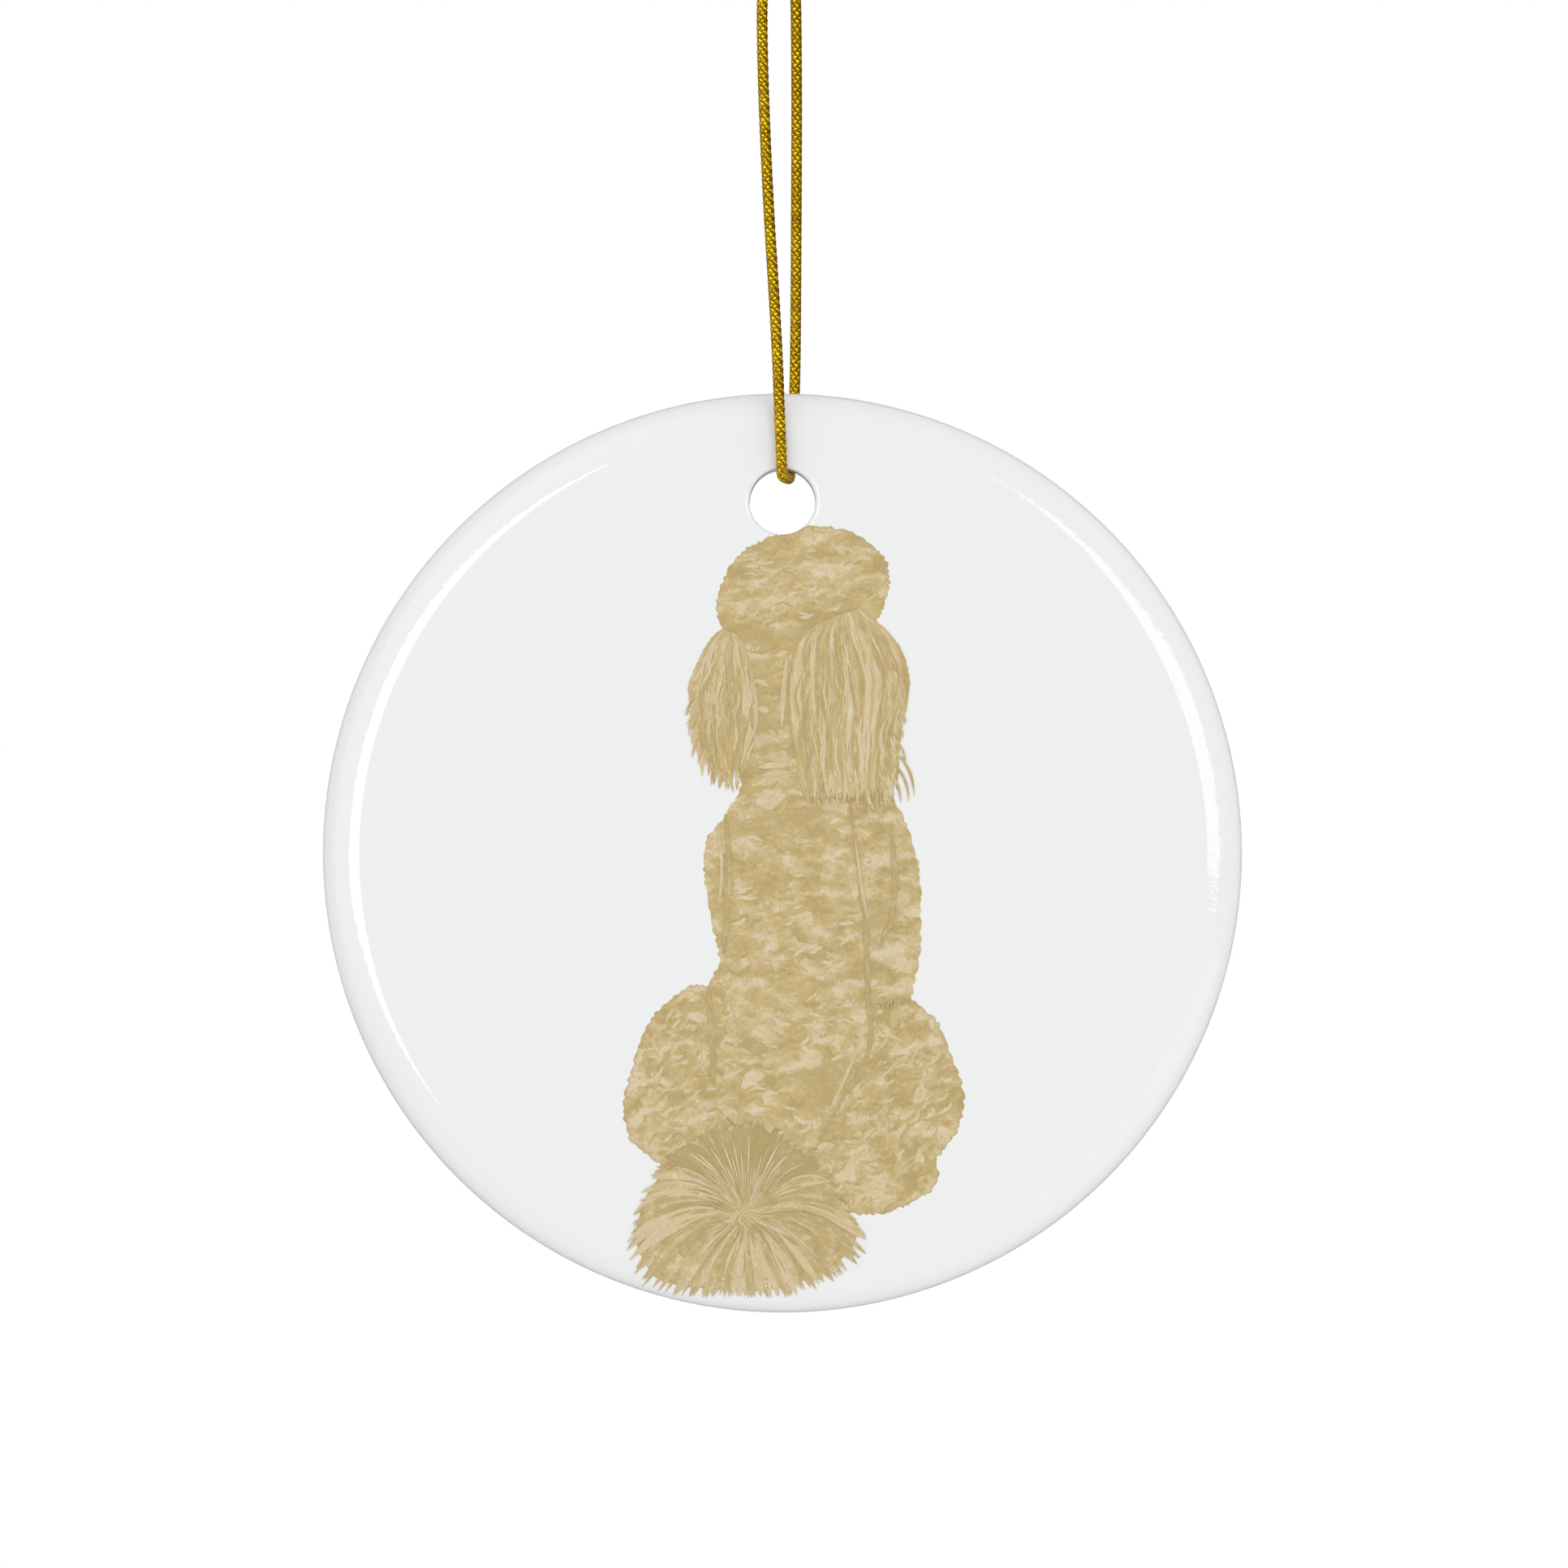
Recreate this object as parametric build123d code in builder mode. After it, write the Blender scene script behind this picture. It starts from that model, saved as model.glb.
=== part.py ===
"""Round glazed ceramic hanging ornament with a printed dog, on a loop of braided cord.

Millimetres, +Z up, +X to the right, front face towards -Y. The origin is the inside of the
loop's top, where the knot closes it and where a hook bears, so the ornament hangs below it.
"""

import os
from math import pi, radians, tan

from build123d import *

# Driving dimensions
disc_radius = 35.0
disc_thickness = 4.0
front_round = 3.0  # pillowed front edge of the disc
back_round = 1.0
glaze = 0.1  # thickness of the glaze layer that carries the picture
hang_height = 72.0  # from the disc's centre up to the hang point
hole_radius = 2.5
hole_height = 26.65  # of the hole's centre above the disc's centre
hole_round = 0.33  # rounded lip of the hole on both faces
cord_radius = 0.4
edge_bend = 0.9  # centreline radius where the taut cord turns over the hole's lip
twist_height = -24.0  # the cord's two halves meet here
twist_gap = 0.2
knot_width = 3.0
knot_height = 3.4

half = disc_thickness / 2
disc_z = -hang_height
hole_z = disc_z + hole_height
disc_axis = Axis((0, 0, disc_z), (0, 1, 0))
hole_axis = Axis((0, 0, hole_z), (0, 1, 0))
disc_section = Plane.XY.offset(disc_z)  # half profiles: distance from the axis, then depth
hole_section = Plane.XY.offset(hole_z)
face = Plane(origin=(0, 0, disc_z), x_dir=(1, 0, 0), z_dir=(0, -1, 0))  # looks at the front

os.makedirs("parts", exist_ok=True)


def fillet_radii(points, bends):
    """One radius for each inner point: the bend given there, or as large as the two runs allow."""
    places = [Vector(*p) for p in points]
    radii = []
    for i in range(1, len(places) - 1):
        before = places[i] - places[i - 1]
        after = places[i + 1] - places[i]
        half_turn = radians(before.get_angle(after)) / 2
        largest = 0.45 * min(before.length, after.length) / tan(half_turn)
        radii.append(bends.get(i, largest))
    return radii


# The hole's wall with its rounded lips, as a solid to cut with
rim = hole_radius + hole_round
with BuildPart() as hole_cutter:
    with BuildSketch(hole_section):
        with BuildLine():
            Line((0, -2 * half), (rim, -2 * half))
            Line((rim, -2 * half), (rim, -half))
            CenterArc((rim, -half + hole_round), hole_round, 270, -90)
            Line((hole_radius, -half + hole_round), (hole_radius, half - hole_round))
            CenterArc((rim, half - hole_round), hole_round, 180, -90)
            Line((rim, half), (rim, 2 * half))
            Line((rim, 2 * half), (0, 2 * half))
            Line((0, 2 * half), (0, -2 * half))
        make_face()
    revolve(axis=hole_axis)

# Fired disc: flat back with a small edge round, and a front that is set back by the glaze.
# Its side wall starts with a ledge that the glaze ends on.
flat_radius = disc_radius - front_round
widest = half - back_round  # depth at which the disc is widest
with BuildPart() as ceramic_disc:
    with BuildSketch(disc_section):
        with BuildLine():
            Line((0, half), (disc_radius - back_round, half))
            CenterArc((disc_radius - back_round, widest), back_round, 90, -90)
            Line((disc_radius, widest), (disc_radius - glaze, widest))
            CenterArc((flat_radius, widest), front_round - glaze, 0, -90)
            Line((flat_radius, widest - front_round + glaze), (0, -half + glaze))
            Line((0, -half + glaze), (0, half))
        make_face()
    revolve(axis=disc_axis)
    add(hole_cutter.part, mode=Mode.SUBTRACT)
ceramic_disc.part.label = "ceramic_disc"

# The whole glaze layer, before the dyed area is taken out of it
with BuildPart() as glaze_layer:
    with BuildSketch(disc_section):
        with BuildLine():
            Line((0, -half), (flat_radius, -half))
            CenterArc((flat_radius, widest), front_round, 270, 90)
            Line((disc_radius, widest), (disc_radius - glaze, widest))
            CenterArc((flat_radius, widest), front_round - glaze, 0, -90)
            Line((flat_radius, -half + glaze), (0, -half + glaze))
            Line((0, -half + glaze), (0, -half))
        make_face()
    revolve(axis=disc_axis)
    add(hole_cutter.part, mode=Mode.SUBTRACT)

# Outline of the sitting dog, seen from behind: rounded woolly masses and a long back,
# each given by its centre, half width, half height and lean, about the disc's centre
masses = {
    "topknot": (1.5, 20.7, 6.5, 4.1, 4),
    "head": (0.5, 13.5, 4.6, 7.0, 0),
    "left_ear": (-3.8, 11.1, 3.2, 6.3, 5),
    "right_ear": (5.2, 11.7, 4.4, 7.3, 0),
    "left_haunch": (-5.4, -17.0, 6.7, 7.1, 0),
    "right_haunch": (6.9, -18.9, 6.8, 7.9, 0),
    "tail": (-2.7, -28.6, 8.9, 5.2, 0),
}
back_outline = [
    (-3.6, 5.5),
    (-5.9, -0.8),
    (-5.0, -7.8),
    (-6.0, -13.0),
    (-4.0, -25.0),
    (3.0, -26.5),
    (8.5, -22.0),
    (9.8, -10.0),
    (10.5, -3.5),
    (8.5, 4.0),
    (4.0, 8.0),
]
with BuildPart() as dog_column:
    with BuildSketch(face):
        with BuildLine():
            Spline(*back_outline, periodic=True)
        make_face()
        for x, z, half_width, half_tall, lean in masses.values():
            with Locations((x, z)):
                Ellipse(half_width, half_tall, rotation=lean)
    extrude(amount=2 * half, both=True)

# Dyed part of the glaze, flush with the white around it
with BuildPart() as dog_print:
    add(glaze_layer.part)
    add(dog_column.part, mode=Mode.INTERSECT)
dog_print.part.label = "dog_print"

with BuildPart() as front_glaze:
    add(glaze_layer.part)
    add(dog_column.part, mode=Mode.SUBTRACT)
front_glaze.part.label = "front_glaze"

# Route of the cord's centreline: down the front of the disc, through the top of the hole
# and up the back. It hangs taut, so its two strands are nearly straight.
route = [
    (-0.43, -0.05, -0.45),
    (-1.35, -0.22, -3.6),
    (-1.62, -0.52, -8.5),
    (-1.21, -1.31, -20.6),
    (-0.43, -2.10, -33.0),
    (-0.20, -2.50, -39.2),
    (-0.07, -2.50, -42.13),
    (-0.05, -2.50, -42.87),
    (-0.02, -1.97, -43.40),
    (0.09, -1.23, -43.46),
    (0.44, 1.23, -43.46),
    (0.55, 1.97, -43.40),
    (0.60, 2.50, -42.87),
    (0.66, 2.50, -42.13),
    (0.98, 2.48, -36.9),
    (1.06, 1.65, -24.6),
    (1.10, 0.84, -12.4),
    (0.98, 0.28, -4.2),
    (0.43, 0.05, -0.45),
]
lip_bends = {7: edge_bend, 8: edge_bend, 11: edge_bend, 12: edge_bend}
radii = fillet_radii(route, lip_bends)
with BuildLine() as centreline:
    FilletPolyline(*route, radius=radii)
cord_length = centreline.wire().length
print("cord radii", [round(r, 2) for r in radii])
print("cord length", round(cord_length, 2))

start = Plane(origin=route[0], z_dir=Vector(*route[1]) - Vector(*route[0]))
with BuildPart() as whole_cord:
    with BuildSketch(start):
        Circle(cord_radius)
    sweep(path=centreline.wire())
section_area = pi * cord_radius**2
print("cord volume over section times length",
      round(whole_cord.part.volume / (section_area * cord_length), 4))

# Two strands above the plane where the loop's halves twist on each other
with BuildPart() as cord_upper:
    add(whole_cord.part)
    split(bisect_by=Plane.XY.offset(twist_height + twist_gap / 2), keep=Keep.TOP)
cord_upper.part.label = "cord_upper"

with BuildPart() as cord_lower:
    add(whole_cord.part)
    split(bisect_by=Plane.XY.offset(twist_height - twist_gap / 2), keep=Keep.BOTTOM)
cord_lower.part.label = "cord_lower"

# Knot that closes the loop: a round lump standing on the hang point
knot_middle = knot_height / 2
with BuildPart() as cord_knot:
    with BuildSketch(Plane.XZ):
        with BuildLine():
            EllipticalCenterArc(
                (0, knot_middle), knot_width / 2, knot_middle, start_angle=-90, arc_size=180
            )
            Line((0, knot_height), (0, 0))
        make_face()
    revolve(axis=Axis.Z)
cord_knot.part.label = "cord_knot"

# The two cut ends that stand out of the knot's top, leaning apart
tail_root = knot_height - 0.6
left_route = [
    (-0.45, -0.1, tail_root),
    (-0.70, -0.2, tail_root + 1.7),
    (-1.35, -0.3, tail_root + 3.3),
    (-1.70, -0.2, tail_root + 5.1),
]
right_route = [
    (0.45, 0.1, tail_root),
    (0.60, 0.2, tail_root + 1.5),
    (1.20, 0.2, tail_root + 3.0),
    (2.10, 0.0, tail_root + 4.3),
]
tails = {"knot_tail_left": left_route, "knot_tail_right": right_route}
for name, tail_route in tails.items():
    tail_radii = fillet_radii(tail_route, {})
    print(name, "radii", [round(r, 2) for r in tail_radii])
    with BuildLine() as tail_line:
        FilletPolyline(*tail_route, radius=tail_radii)
    tail_start = Plane(origin=tail_route[0], z_dir=Vector(*tail_route[1]) - Vector(*tail_route[0]))
    with BuildPart() as tail:
        with BuildSketch(tail_start):
            Circle(cord_radius)
        sweep(path=tail_line.wire())
    tail.part.label = name
    export_step(tail.part, f"parts/{name}.step")

export_step(ceramic_disc.part, "parts/ceramic_disc.step")
export_step(front_glaze.part, "parts/front_glaze.step")
export_step(dog_print.part, "parts/dog_print.step")
export_step(cord_upper.part, "parts/cord_upper.step")
export_step(cord_lower.part, "parts/cord_lower.step")
export_step(cord_knot.part, "parts/cord_knot.step")
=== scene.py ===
"""Looks of a round glazed ceramic hanging ornament: the disc, its printed dog and its cord.

Metres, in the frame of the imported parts: the origin is the hang point under the knot, +Z is up
and the printed face looks towards -Y.
"""

import random
from math import cos, pi, radians, sin

import bmesh
import bpy
import numpy as np
from bpy.props import FloatProperty, FloatVectorProperty, IntProperty, PointerProperty
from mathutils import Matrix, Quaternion, Vector


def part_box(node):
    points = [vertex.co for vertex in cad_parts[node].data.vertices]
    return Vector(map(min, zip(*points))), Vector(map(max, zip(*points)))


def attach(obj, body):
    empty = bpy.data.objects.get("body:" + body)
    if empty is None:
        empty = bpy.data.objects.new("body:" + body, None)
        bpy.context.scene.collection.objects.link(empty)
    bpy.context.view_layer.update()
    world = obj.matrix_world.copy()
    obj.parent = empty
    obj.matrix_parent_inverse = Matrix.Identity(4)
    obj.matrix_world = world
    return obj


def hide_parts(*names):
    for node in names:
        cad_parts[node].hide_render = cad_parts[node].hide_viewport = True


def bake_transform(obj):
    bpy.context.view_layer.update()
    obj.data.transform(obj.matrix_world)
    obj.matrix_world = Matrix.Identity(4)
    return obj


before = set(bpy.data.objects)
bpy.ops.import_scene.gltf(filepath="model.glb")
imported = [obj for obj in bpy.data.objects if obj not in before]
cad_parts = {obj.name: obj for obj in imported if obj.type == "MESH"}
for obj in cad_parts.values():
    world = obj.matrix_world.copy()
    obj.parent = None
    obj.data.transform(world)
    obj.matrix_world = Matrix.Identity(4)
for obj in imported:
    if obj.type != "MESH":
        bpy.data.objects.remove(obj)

bl_info = {
    "name": "Ceramic Hanging Ornament",
    "version": (1, 0, 0),
    "blender": (4, 5, 0),
    "location": "View3D > Sidebar > Ornament",
    "description": "Makes the looks of a round ceramic ornament with a printed dog and a cord",
    "category": "Add Mesh",
}

MM = 0.001

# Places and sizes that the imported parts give
body_low, body_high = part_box("ceramic_disc")
glaze_low, glaze_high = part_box("front_glaze")
DISC_RADIUS = (body_high.z - body_low.z) / 2
DISC_X = 0.0
DISC_Z = (body_high.z + body_low.z) / 2
FRONT_Y = glaze_low.y
BACK_Y = body_high.y
WIDEST_Y = glaze_high.y  # the glaze ends where the disc is widest
FRONT_ROUND = WIDEST_Y - FRONT_Y
BACK_ROUND = BACK_Y - WIDEST_Y
FLAT_RADIUS = DISC_RADIUS - FRONT_ROUND
KNOT_LOW, KNOT_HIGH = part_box("cord_knot")

# Sizes that repeat the part's own
GLAZE = 0.1 * MM
HOLE_RADIUS = 2.5 * MM
HOLE_RISE = 26.65 * MM  # hole's centre above the disc's
HOLE_Z = DISC_Z + HOLE_RISE
LIP_ROUND = 0.33 * MM

# Route of the cord's centreline, in the order that it runs: down the front of the disc,
# through the top of the hole and up the back
CORD_ROUTE = [
    (-0.00043, -0.00005, -0.00045),
    (-0.00135, -0.00022, -0.0036),
    (-0.00162, -0.00052, -0.0085),
    (-0.00121, -0.00131, -0.0206),
    (-0.00043, -0.00210, -0.0330),
    (-0.00020, -0.00250, -0.0392),
    (-0.00007, -0.00250, -0.04213),
    (-0.00005, -0.00250, -0.04287),
    (-0.00002, -0.00197, -0.04340),
    (0.00009, -0.00123, -0.04346),
    (0.00044, 0.00123, -0.04346),
    (0.00055, 0.00197, -0.04340),
    (0.00060, 0.00250, -0.04287),
    (0.00066, 0.00250, -0.04213),
    (0.00098, 0.00248, -0.0369),
    (0.00106, 0.00165, -0.0246),
    (0.00110, 0.00084, -0.0124),
    (0.00098, 0.00028, -0.0042),
    (0.00043, 0.00005, -0.00045),
]
TAIL_ROOT = KNOT_HIGH.z - 0.6 * MM
LEFT_TAIL = [
    (-0.00045, -0.0001, TAIL_ROOT),
    (-0.00070, -0.0002, TAIL_ROOT + 0.0017),
    (-0.00135, -0.0003, TAIL_ROOT + 0.0033),
    (-0.00170, -0.0002, TAIL_ROOT + 0.0051),
]
RIGHT_TAIL = [
    (0.00045, 0.0001, TAIL_ROOT),
    (0.00060, 0.0002, TAIL_ROOT + 0.0015),
    (0.00120, 0.0002, TAIL_ROOT + 0.0030),
    (0.00210, 0.0, TAIL_ROOT + 0.0043),
]


# ---------------------------------------------------------------- settings


class CordSettings(bpy.types.PropertyGroup):
    """Sizes and colours of the braided cord."""

    diameter: FloatProperty(
        name="Diameter", description="Across the braid", default=0.89 * MM,
        min=0.3 * MM, max=3 * MM, unit="LENGTH", precision=5,
    )
    pitch: FloatProperty(
        name="Plait pitch", description="Distance along the cord between rows of the braid",
        default=0.607 * MM, min=0.2 * MM, max=3 * MM, unit="LENGTH", precision=5,
    )
    yarns: IntProperty(
        name="Yarns", description="Flat yarns in the braid, half of them each way round",
        default=8, min=4, max=16, subtype="UNSIGNED",
    )
    gold: FloatVectorProperty(
        name="Gold", description="Colour of the metallic yarn", subtype="COLOR", size=4,
        default=(1.0, 0.69, 0.01, 1.0), min=0, max=1,
    )
    # Colour of the painted shade in the braid: the core and the sunk parts of the yarns take it
    core: FloatVectorProperty(
        name="Core", description="Colour between the yarns", subtype="COLOR", size=4,
        default=(0.10, 0.04, 0.004, 1.0), min=0, max=1,
    )


class GlazeSettings(bpy.types.PropertyGroup):
    """Colour and finish of the glazed disc."""

    white: FloatVectorProperty(
        name="White", description="Colour of the glaze", subtype="COLOR", size=4,
        default=(0.86, 0.875, 0.868, 1.0), min=0, max=1,
    )
    roughness: FloatProperty(
        name="Roughness", description="Roughness of the fired gloss", subtype="FACTOR",
        default=0.03, min=0, max=1,
    )
    ripple: FloatProperty(
        name="Ripple", description="Height of the waves that the glaze dries with on the rim",
        default=0.04 * MM, min=0, max=MM, unit="LENGTH", precision=6,
    )


class PrintSettings(bpy.types.PropertyGroup):
    """Colours of the printed dog."""

    tan: FloatVectorProperty(
        name="Tan", description="Middle tone of the coat", subtype="COLOR", size=4,
        default=(0.572, 0.434, 0.196, 1.0), min=0, max=1,
    )
    cream: FloatVectorProperty(
        name="Cream", description="Lightest tone of the coat", subtype="COLOR", size=4,
        default=(0.705, 0.595, 0.40, 1.0), min=0, max=1,
    )
    umber: FloatVectorProperty(
        name="Umber", description="Darkest tone of the coat", subtype="COLOR", size=4,
        default=(0.468, 0.352, 0.156, 1.0), min=0, max=1,
    )


# ---------------------------------------------------------------- node helpers


def feed(tree, socket, value):
    """Sets a socket to a plain value, or links another socket to it."""
    if isinstance(value, bpy.types.NodeSocket):
        tree.links.new(value, socket)
    else:
        socket.default_value = value


def node(tree, kind, values=None, **settings):
    """A new node with its settings, and with inputs fed by their names or places."""
    made = tree.nodes.new(kind)
    for name, value in settings.items():
        setattr(made, name, value)
    for name, value in (values or {}).items():
        feed(tree, made.inputs[name], value)
    return made


def maths(tree, operation, *values):
    """A Math node on sockets or numbers, returned as its output socket."""
    return node(tree, "ShaderNodeMath", dict(enumerate(values)), operation=operation).outputs[0]


def vector_maths(tree, operation, first, second=None, scale=None):
    """A Vector Math node on sockets or triples, returned as its output socket."""
    offered = {0: first, 1: second, "Scale": scale}
    values = {name: value for name, value in offered.items() if value is not None}
    made = node(tree, "ShaderNodeVectorMath", values, operation=operation)
    return made.outputs["Value" if operation == "LENGTH" else "Vector"]


def noise(tree, vector, scale, detail=2.0, roughness=0.5, distortion=0.0, output="Fac"):
    """Noise on a vector socket, as an output socket."""
    made = node(tree, "ShaderNodeTexNoise", {
        "Vector": vector, "Scale": scale, "Detail": detail, "Roughness": roughness,
        "Distortion": distortion,
    })
    return made.outputs[output]


def ramp(tree, value, low, high, out_low=0.0, out_high=1.0):
    """A smooth step of a value between two limits, as an output socket."""
    made = node(tree, "ShaderNodeMapRange", {
        "Value": value, "From Min": low, "From Max": high, "To Min": out_low, "To Max": out_high,
    }, interpolation_type="SMOOTHSTEP")
    return made.outputs["Result"]


def mix_colours(tree, share, first, second):
    """Mixes two colours, each a socket or four numbers, by a socket or a number."""
    made = node(tree, "ShaderNodeMix", data_type="RGBA")
    sockets = {s.identifier: s for s in made.inputs}
    for identifier, value in (("Factor_Float", share), ("A_Color", first), ("B_Color", second)):
        feed(tree, sockets[identifier], value)
    return next(s for s in made.outputs if s.identifier == "Result_Color")


def mesh_value(tree, title, output="Fac"):
    """What a piece's mesh holds under a title, as an output socket."""
    return node(tree, "ShaderNodeAttribute", attribute_name=title).outputs[output]


def new_tree(name, kind, inputs, outputs):
    """A node group with named sockets: (tree, its inputs' sockets, its output node)."""
    tree = bpy.data.node_groups.new(name, kind)
    for direction, sockets in (("INPUT", inputs), ("OUTPUT", outputs)):
        for title, socket_type in sockets.items():
            tree.interface.new_socket(title, in_out=direction, socket_type=f"NodeSocket{socket_type}")
    return tree, tree.nodes.new("NodeGroupInput").outputs, tree.nodes.new("NodeGroupOutput")


def new_material(name):
    """A material with only its Principled BSDF and output: (material, tree, shader)."""
    made = bpy.data.materials.new(name)
    made.use_nodes = True
    return made, made.node_tree, made.node_tree.nodes["Principled BSDF"]


def placed(name, data):
    """A new object of the scene that holds the data."""
    made = bpy.data.objects.new(name, data)
    bpy.context.scene.collection.objects.link(made)
    return made


def grown(source, tree, values, name):
    """The plain mesh that a Geometry Nodes tree makes from a line object, as a new object.

    The line object is then removed.
    """
    modifier = source.modifiers.new(tree.name, "NODES")
    modifier.node_group = tree
    for item in tree.interface.items_tree:
        if item.item_type == "SOCKET" and item.in_out == "INPUT" and item.name in values:
            modifier[item.identifier] = values[item.name]
    view = bpy.context.evaluated_depsgraph_get()
    mesh = bpy.data.meshes.new_from_object(source.evaluated_get(view), depsgraph=view)
    mesh.name = name
    line = source.data
    bpy.data.objects.remove(source)
    bpy.data.curves.remove(line)
    return placed(name, mesh)


# ---------------------------------------------------------------- shared effects


def glaze_ripple_group():
    """Normal of a glaze that dried with fine waves, which grow over the rim."""
    tree, given, out = new_tree(
        "glaze_ripple", "ShaderNodeTree",
        {"Place": "Vector", "Height": "Float"}, {"Normal": "Vector", "Rim": "Float"},
    )
    centred = vector_maths(tree, "SUBTRACT", given["Place"], (DISC_X, 0.0, DISC_Z))
    flat = vector_maths(tree, "MULTIPLY", centred, (1.0, 0.0, 1.0))
    reach = vector_maths(tree, "LENGTH", flat)
    rim = ramp(tree, reach, FLAT_RADIUS + 0.2 * MM, FLAT_RADIUS + 0.9 * MM)
    waves = maths(tree, "MULTIPLY", noise(tree, given["Place"], 1400.0, 2.5, 0.55), rim)
    swell = maths(tree, "MULTIPLY", noise(tree, given["Place"], 90.0, 1.0), 0.12)
    bump = node(tree, "ShaderNodeBump", {
        "Strength": 1.0, "Distance": given["Height"], "Height": maths(tree, "ADD", waves, swell),
    })
    feed(tree, out.inputs["Normal"], bump.outputs["Normal"])
    feed(tree, out.inputs["Rim"], rim)
    return tree


def wool_tones_group():
    """Colour of drawn wool: soft feathery patches of three tones that run along the strands."""
    tree, given, out = new_tree(
        "wool_tones", "ShaderNodeTree",
        {
            "Strand": "Vector", "Shade": "Float", "Patch": "Vector", "Curl": "Float",
            "Middle": "Color", "Light": "Color", "Dark": "Color",
        },
        {"Color": "Color", "Grain": "Float"},
    )
    strand, shade = given["Strand"], given["Shade"]

    # Broad patches with finer ones in them, bent as the wool curls
    drift = noise(tree, strand, 0.9, 2.0, 0.6, output="Color")
    drift = vector_maths(tree, "SUBTRACT", drift, (0.5, 0.5, 0.5))
    drift = vector_maths(tree, "SCALE", drift, scale=given["Curl"])
    bent = vector_maths(tree, "ADD", strand, drift)
    bent = vector_maths(tree, "DIVIDE", bent, given["Patch"])
    broad = noise(tree, bent, 0.85, 3.0, 0.55, 0.5)
    finer = vector_maths(tree, "ADD", bent, (31.7, 8.2, 3.1))
    finer = noise(tree, finer, 2.6, 4.0, 0.65, 0.6)
    mottle = maths(tree, "MULTIPLY_ADD", finer, 0.3, maths(tree, "MULTIPLY", broad, 0.7))
    pale = ramp(tree, mottle, 0.47, 0.64)
    deep = ramp(tree, mottle, 0.50, 0.38, 0.0, 0.85)

    # A shade above zero darkens the mottle and one below zero lightens it
    paler = maths(tree, "MAXIMUM", maths(tree, "MULTIPLY", shade, -1.0), 0.0)
    darker = maths(tree, "MAXIMUM", shade, 0.0)
    pale = maths(tree, "MULTIPLY", pale, maths(tree, "SUBTRACT", 1.0, darker))
    deep = maths(tree, "MULTIPLY", deep, maths(tree, "SUBTRACT", 1.0, paler))
    pale = maths(tree, "MAXIMUM", pale, paler)
    deep = maths(tree, "MAXIMUM", deep, darker)
    tone = mix_colours(tree, deep, given["Middle"], given["Dark"])
    tone = mix_colours(tree, pale, tone, given["Light"])

    # Fine slanting hairs over it all
    slant = node(tree, "ShaderNodeMapping", {
        "Vector": strand, "Rotation": (0.0, 0.0, radians(-35)), "Scale": (9.0, 2.6, 1.0),
    })
    grain = ramp(tree, noise(tree, slant.outputs["Vector"], 1.0, 3.0, 0.65), 0.2, 0.8, 0.90, 1.10)
    feed(tree, out.inputs["Color"], vector_maths(tree, "SCALE", tone, scale=grain))
    feed(tree, out.inputs["Grain"], grain)
    return tree


# ---------------------------------------------------------------- materials

GLAZE_IOR = 1.5


def glaze_surface(tree, shader, ripple_group):
    """Gives a shader the glaze's ripple: (mask of the rim, place on the piece)."""
    place = node(tree, "ShaderNodeTexCoord").outputs["Object"]
    height = bpy.context.scene.ornament_glaze.ripple
    values = {"Place": place, "Height": height}
    ripple = node(tree, "ShaderNodeGroup", values, node_tree=ripple_group)
    feed(tree, shader.inputs["Normal"], ripple.outputs["Normal"])
    shader.inputs["IOR"].default_value = GLAZE_IOR
    return ripple.outputs["Rim"], place


def white_glaze(name, ripple_group, warmth):
    """Glossy white glaze with a faint drift of tint, made stronger on the rim as a painted reflection of
    the surroundings.
    """
    settings = bpy.context.scene.ornament_glaze
    made, tree, shader = new_material(name)
    rim, place = glaze_surface(tree, shader, ripple_group)
    white = list(settings.white)
    warm = [white[0] * (1 + warmth), white[1], white[2] * (1 - warmth), 1.0]
    cool = [white[0] * 0.995, white[1] * 0.985, white[2] * 1.01, 1.0]
    tint = mix_colours(tree, ramp(tree, noise(tree, place, 120.0), 0.3, 0.7), warm, cool)
    # Painted reflection: the tint drifts much more on the rim, standing in for the surroundings' colours
    # seen in its gloss
    share = maths(tree, "MULTIPLY_ADD", rim, 0.7, 0.2)
    feed(tree, shader.inputs["Base Color"], mix_colours(tree, share, white, tint))
    smear = noise(tree, place, 300.0, 3.0)
    rough = ramp(tree, smear, 0.3, 0.7, settings.roughness * 0.8, settings.roughness * 1.3)
    feed(tree, shader.inputs["Roughness"], rough)
    return made


def printed_wool(name, groups, patch, curl):
    """The dyed glaze of one part of the dog's coat, with the glaze's own gloss."""
    colours = bpy.context.scene.ornament_print
    fired = bpy.context.scene.ornament_glaze.roughness
    made, tree, shader = new_material(name)
    tones = node(tree, "ShaderNodeGroup", {
        "Strand": mesh_value(tree, "strand", "Vector"), "Shade": mesh_value(tree, "shade"),
        "Patch": (*patch, 1.0), "Curl": curl,
        "Middle": list(colours.tan), "Light": list(colours.cream), "Dark": list(colours.umber),
    }, node_tree=groups["wool_tones"])
    feed(tree, shader.inputs["Base Color"], tones.outputs["Color"])
    glaze_surface(tree, shader, groups["glaze_ripple"])
    rough = ramp(tree, tones.outputs["Grain"], 0.9, 1.1, fired * 1.2, fired * 1.6)
    feed(tree, shader.inputs["Roughness"], rough)
    return made


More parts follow.
